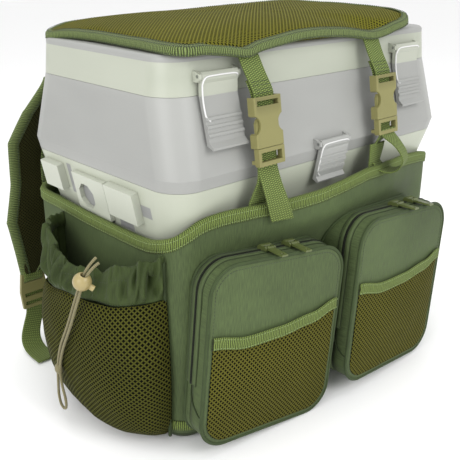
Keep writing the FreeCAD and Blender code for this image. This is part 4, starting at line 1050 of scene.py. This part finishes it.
for share, drop in ((0.35, -1.4), (0.7, 0.6), (1.0, 6.0), (1.2, 12.0)):
    collar_rows.append([(lerp(x, ix, share * 0.9), lerp(y, iy, share * 0.9), z - drop)
                        for (x, y, z), (ix, iy) in zip(hem, inner)])
collar = grid("side_pocket_ruffle", collar_rows, COLLAR)
settle(thicken(collar, 0.8, 0))
stays(collar, "bag_fabric", "side_pocket_collar")
channel = [[(x - 0.4, y, z) for x, y, z in collar_rows[r][4:-4:3]] for r in (1, 17)]
stays(seams("side_pocket_stitches", channel, THREAD, 3.0, 2.0, 0.3), "bag_fabric")
for end, y, bow in (("front", -107.5, -0.8), ("rear", 71.5, 0.8)):
    line = [(-203.6, y + bow * sin(z / 40), z) for z in np.linspace(9, 196, 40)]
    stays(tube(f"side_pocket_seam_{end}", line, 1.7, OXFORD_DARK, up=ALONG_Y), "bag_fabric")


# ---- the back panel and the shoulder straps

PANEL_RING = rounded(-148, 148, 22, 320, 30, 200)


def panel_swell(x, z):
    """Three soft columns with cross channels, flat where the straps are sewn on."""
    column = abs(sin(pi * (x + 150) / 100)) ** 0.6
    cross = abs(sin(pi * (z - 20) / 75.5)) ** 0.5
    return 5.5 * column * cross * smooth((296 - z) / 30) * smooth((150 - abs(x)) / 18)


PANEL_MIDDLE = 171
PANEL_SHARES = (0.0, 0.1, 0.2, 0.3, 0.4, 0.5, 0.6, 0.7, 0.78, 0.85, 0.9, 0.94, 0.97, 0.99)
rows = [[(x * s, 141.6 + panel_swell(x * s, lerp(PANEL_MIDDLE, z, s)), lerp(PANEL_MIDDLE, z, s))
         for x, z in PANEL_RING] for s in PANEL_SHARES]
rows += [[(x * s, y, lerp(PANEL_MIDDLE, z, s)) for x, z in PANEL_RING]
         for s, y in ((1, 139.5), (1, 136.5), (0.99, 134.2), (0.7, 134.2), (0.4, 134.2), (0.0, 134.2))]
back = grid("back_padding", rows, STRAP_MESH, closed_u=True, caps=True, turn=True)
flat_map(back)
stays(back, "air_mesh", "back_panel")
PANEL_FOLD = [(1.6, -4.2), (2.1, 0), (1.6, 4.4), (0.2, 5.2), (-8, 5.6), (-8.2, 4.2), (-0.6, 3.4), (-0.4, -4.2)]
sides = [Vector((a, 0, b)) for a, b in outward(PANEL_RING)]
path = [(x, 138, z) for x, z in PANEL_RING]
tape = sweep("back_panel_tape", path, sides, ALONG_Y, PANEL_FOLD, BINDING, closed=True)
stays(tape, "webbing")

# the shoulder strap's two edges, and its depth behind the back, at each height
INNER = [(112, 326), (120, 316), (140, 285), (160, 239), (164, 177), (168, 122), (186, 93.5)]
OUTER = [(166, 326), (171, 316), (189, 292), (192, 287), (205, 256), (206.5, 249), (207, 210), (208, 202),
         (217.5, 165), (219, 160), (218, 154), (214, 122), (211, 93.5)]
DEPTH = [(93, 165.5), (130, 167), (175, 170), (225, 173), (262, 168), (300, 152), (326, 146.5)]
BAND_STEPS, BAND_WIDE = 90, 15
STRAP_FOLD = [(1.6, -1.6), (1.8, 0), (1.6, 1.6), (0.2, 2.6), (-9, 5.2), (-9.2, 4.4), (-0.4, 1.4), (-0.4, -1.4),
              (-9.2, -4.2), (-9, -5.0), (0.2, -2.6)]
LOCK_LOOP = [(166.2, 101), (168.2, 96), (168.6, 90), (167.8, 84.6), (165.5, 83.0), (163.2, 84.6), (162.4, 90),
             (162.8, 96), (164.6, 101)]
TAIL = [(167.4, 78), (166.4, 60), (165.4, 46.5), (163, 30), (155, 14), (143, 5), (130, 2.6), (112, 2.4)]


def shoulder(hand, side):
    """One shoulder strap, its edge tapes and the webbing below it."""
    body = f"shoulder_{hand}"

    def bent(obj, slot, *nodes):
        return bends(obj, "rucksack", body, (side * 139, 147.5, 326), (side * 139, 150, 300), slot, *nodes)

    inner, outer = (spline([(side * x, curve_at(DEPTH, z), z) for x, z in line], BAND_STEPS)
                    for line in (INNER, OUTER))
    rows, edges = [], {"inner": [], "outer": []}
    for a, b, ahead in zip(map(Vector, inner), map(Vector, outer), ways(inner)):
        across = (b - a).normalized()
        up = across.cross(ahead).normalized()
        if up.y < 0:
            up = -up
        row = []
        for face, full, loose, size, seed in ((1, 4.6, 0.5, 26, 4), (-1, 4.0, 0.7, 22, 8)):
            for t in np.linspace(0, 1, BAND_WIDE)[::face]:
                spot = a.lerp(b, t)
                swell = full * (1 - abs(2 * t - 1) ** 3.5) ** 0.6 + 0.6
                row.append(spot + up * face * (swell + loose * wobble(spot, size, seed)))
        rows.append(row)
        edges["inner"].append((a, -across, up))
        edges["outer"].append((b, across, up))
    band = grid(f"shoulder_band_{hand}", rows, STRAP_MESH, closed_u=True, caps=True)
    band.data.materials.append(OXFORD)
    for poly in band.data.polygons:
        if poly.index < (BAND_STEPS - 1) * 2 * BAND_WIDE and poly.index % (2 * BAND_WIDE) < BAND_WIDE:
            poly.material_index = 1
    bent(band, "air_mesh", f"shoulder_pad_{hand}")
    for name, line in edges.items():
        bent(sweep(f"shoulder_tape_{name}_{hand}", *zip(*line), STRAP_FOLD, PAD_BINDING), "webbing")
        rows = [[p + a * -7.4 + u * h for p, a, u in line] for h in (5.4, -5.2)]
        bent(seams(f"shoulder_stitches_{name}_{hand}", rows, THREAD), "webbing")
    on(web(f"lock_loop_{hand}", side * 198.5, LOCK_LOOP, 50, 24, 1.4), body, "webbing")
    tail = web(f"strap_tail_{hand}_web", side * 216, TAIL, 70)
    for v in tail.data.vertices:
        v.co.x -= side * 17.5 * MM * smooth((v.co.z - 0.004) / 0.044)
    bends(tail, "rucksack", body, (side * 216, 120, 2), (side * 200, 165, 50), "webbing", f"strap_tail_{hand}")


shoulder("left", -1)
shoulder("right", 1)


# ---- moulded detail on the box, with a painted highlight

def latch_rim(hand, middle, pivot, slope, bend, low):
    """The raised line up a latch's left edge and across its top, a real edge painted pure white as a painted
    highlight; below bend the latch's face slopes.
    """
    half = 20.4
    line = [(-half + 4.5, low + 4), (-half + 1.6, low + 2), (-half, low - 2), (-half, low * 0.6), (-half, 10),
            (-half, 6), (-half + 1.4, 2.2), (-half + 5, 0.4), (-6, 0), (6, 0), (half - 4, 0.4), (half - 0.8, 2)]
    line = [(middle + x, pivot[0] - 2.4 - max(0, d - bend) * slope - 1.4 * smooth((8 - d) / 5), pivot[1] - d)
            for x, d in line]
    # the rim is a real raised edge, painted white as a painted highlight
    rim = tube(f"latch_rim_{hand}", spline(line, 70), 0.8, HIGHLIGHT_WHITE, up=ALONG_Y)
    on(rim, f"latch_{hand}", "box_grey")


TRAY_LATCH = ((-113.5, 358), 0.2536, 17, 34)
latch_rim("left", -142, *TRAY_LATCH)
latch_rim("right", 136, *TRAY_LATCH)
latch_rim("lower", -2, (-131, 278), -0.2, 8, 30)
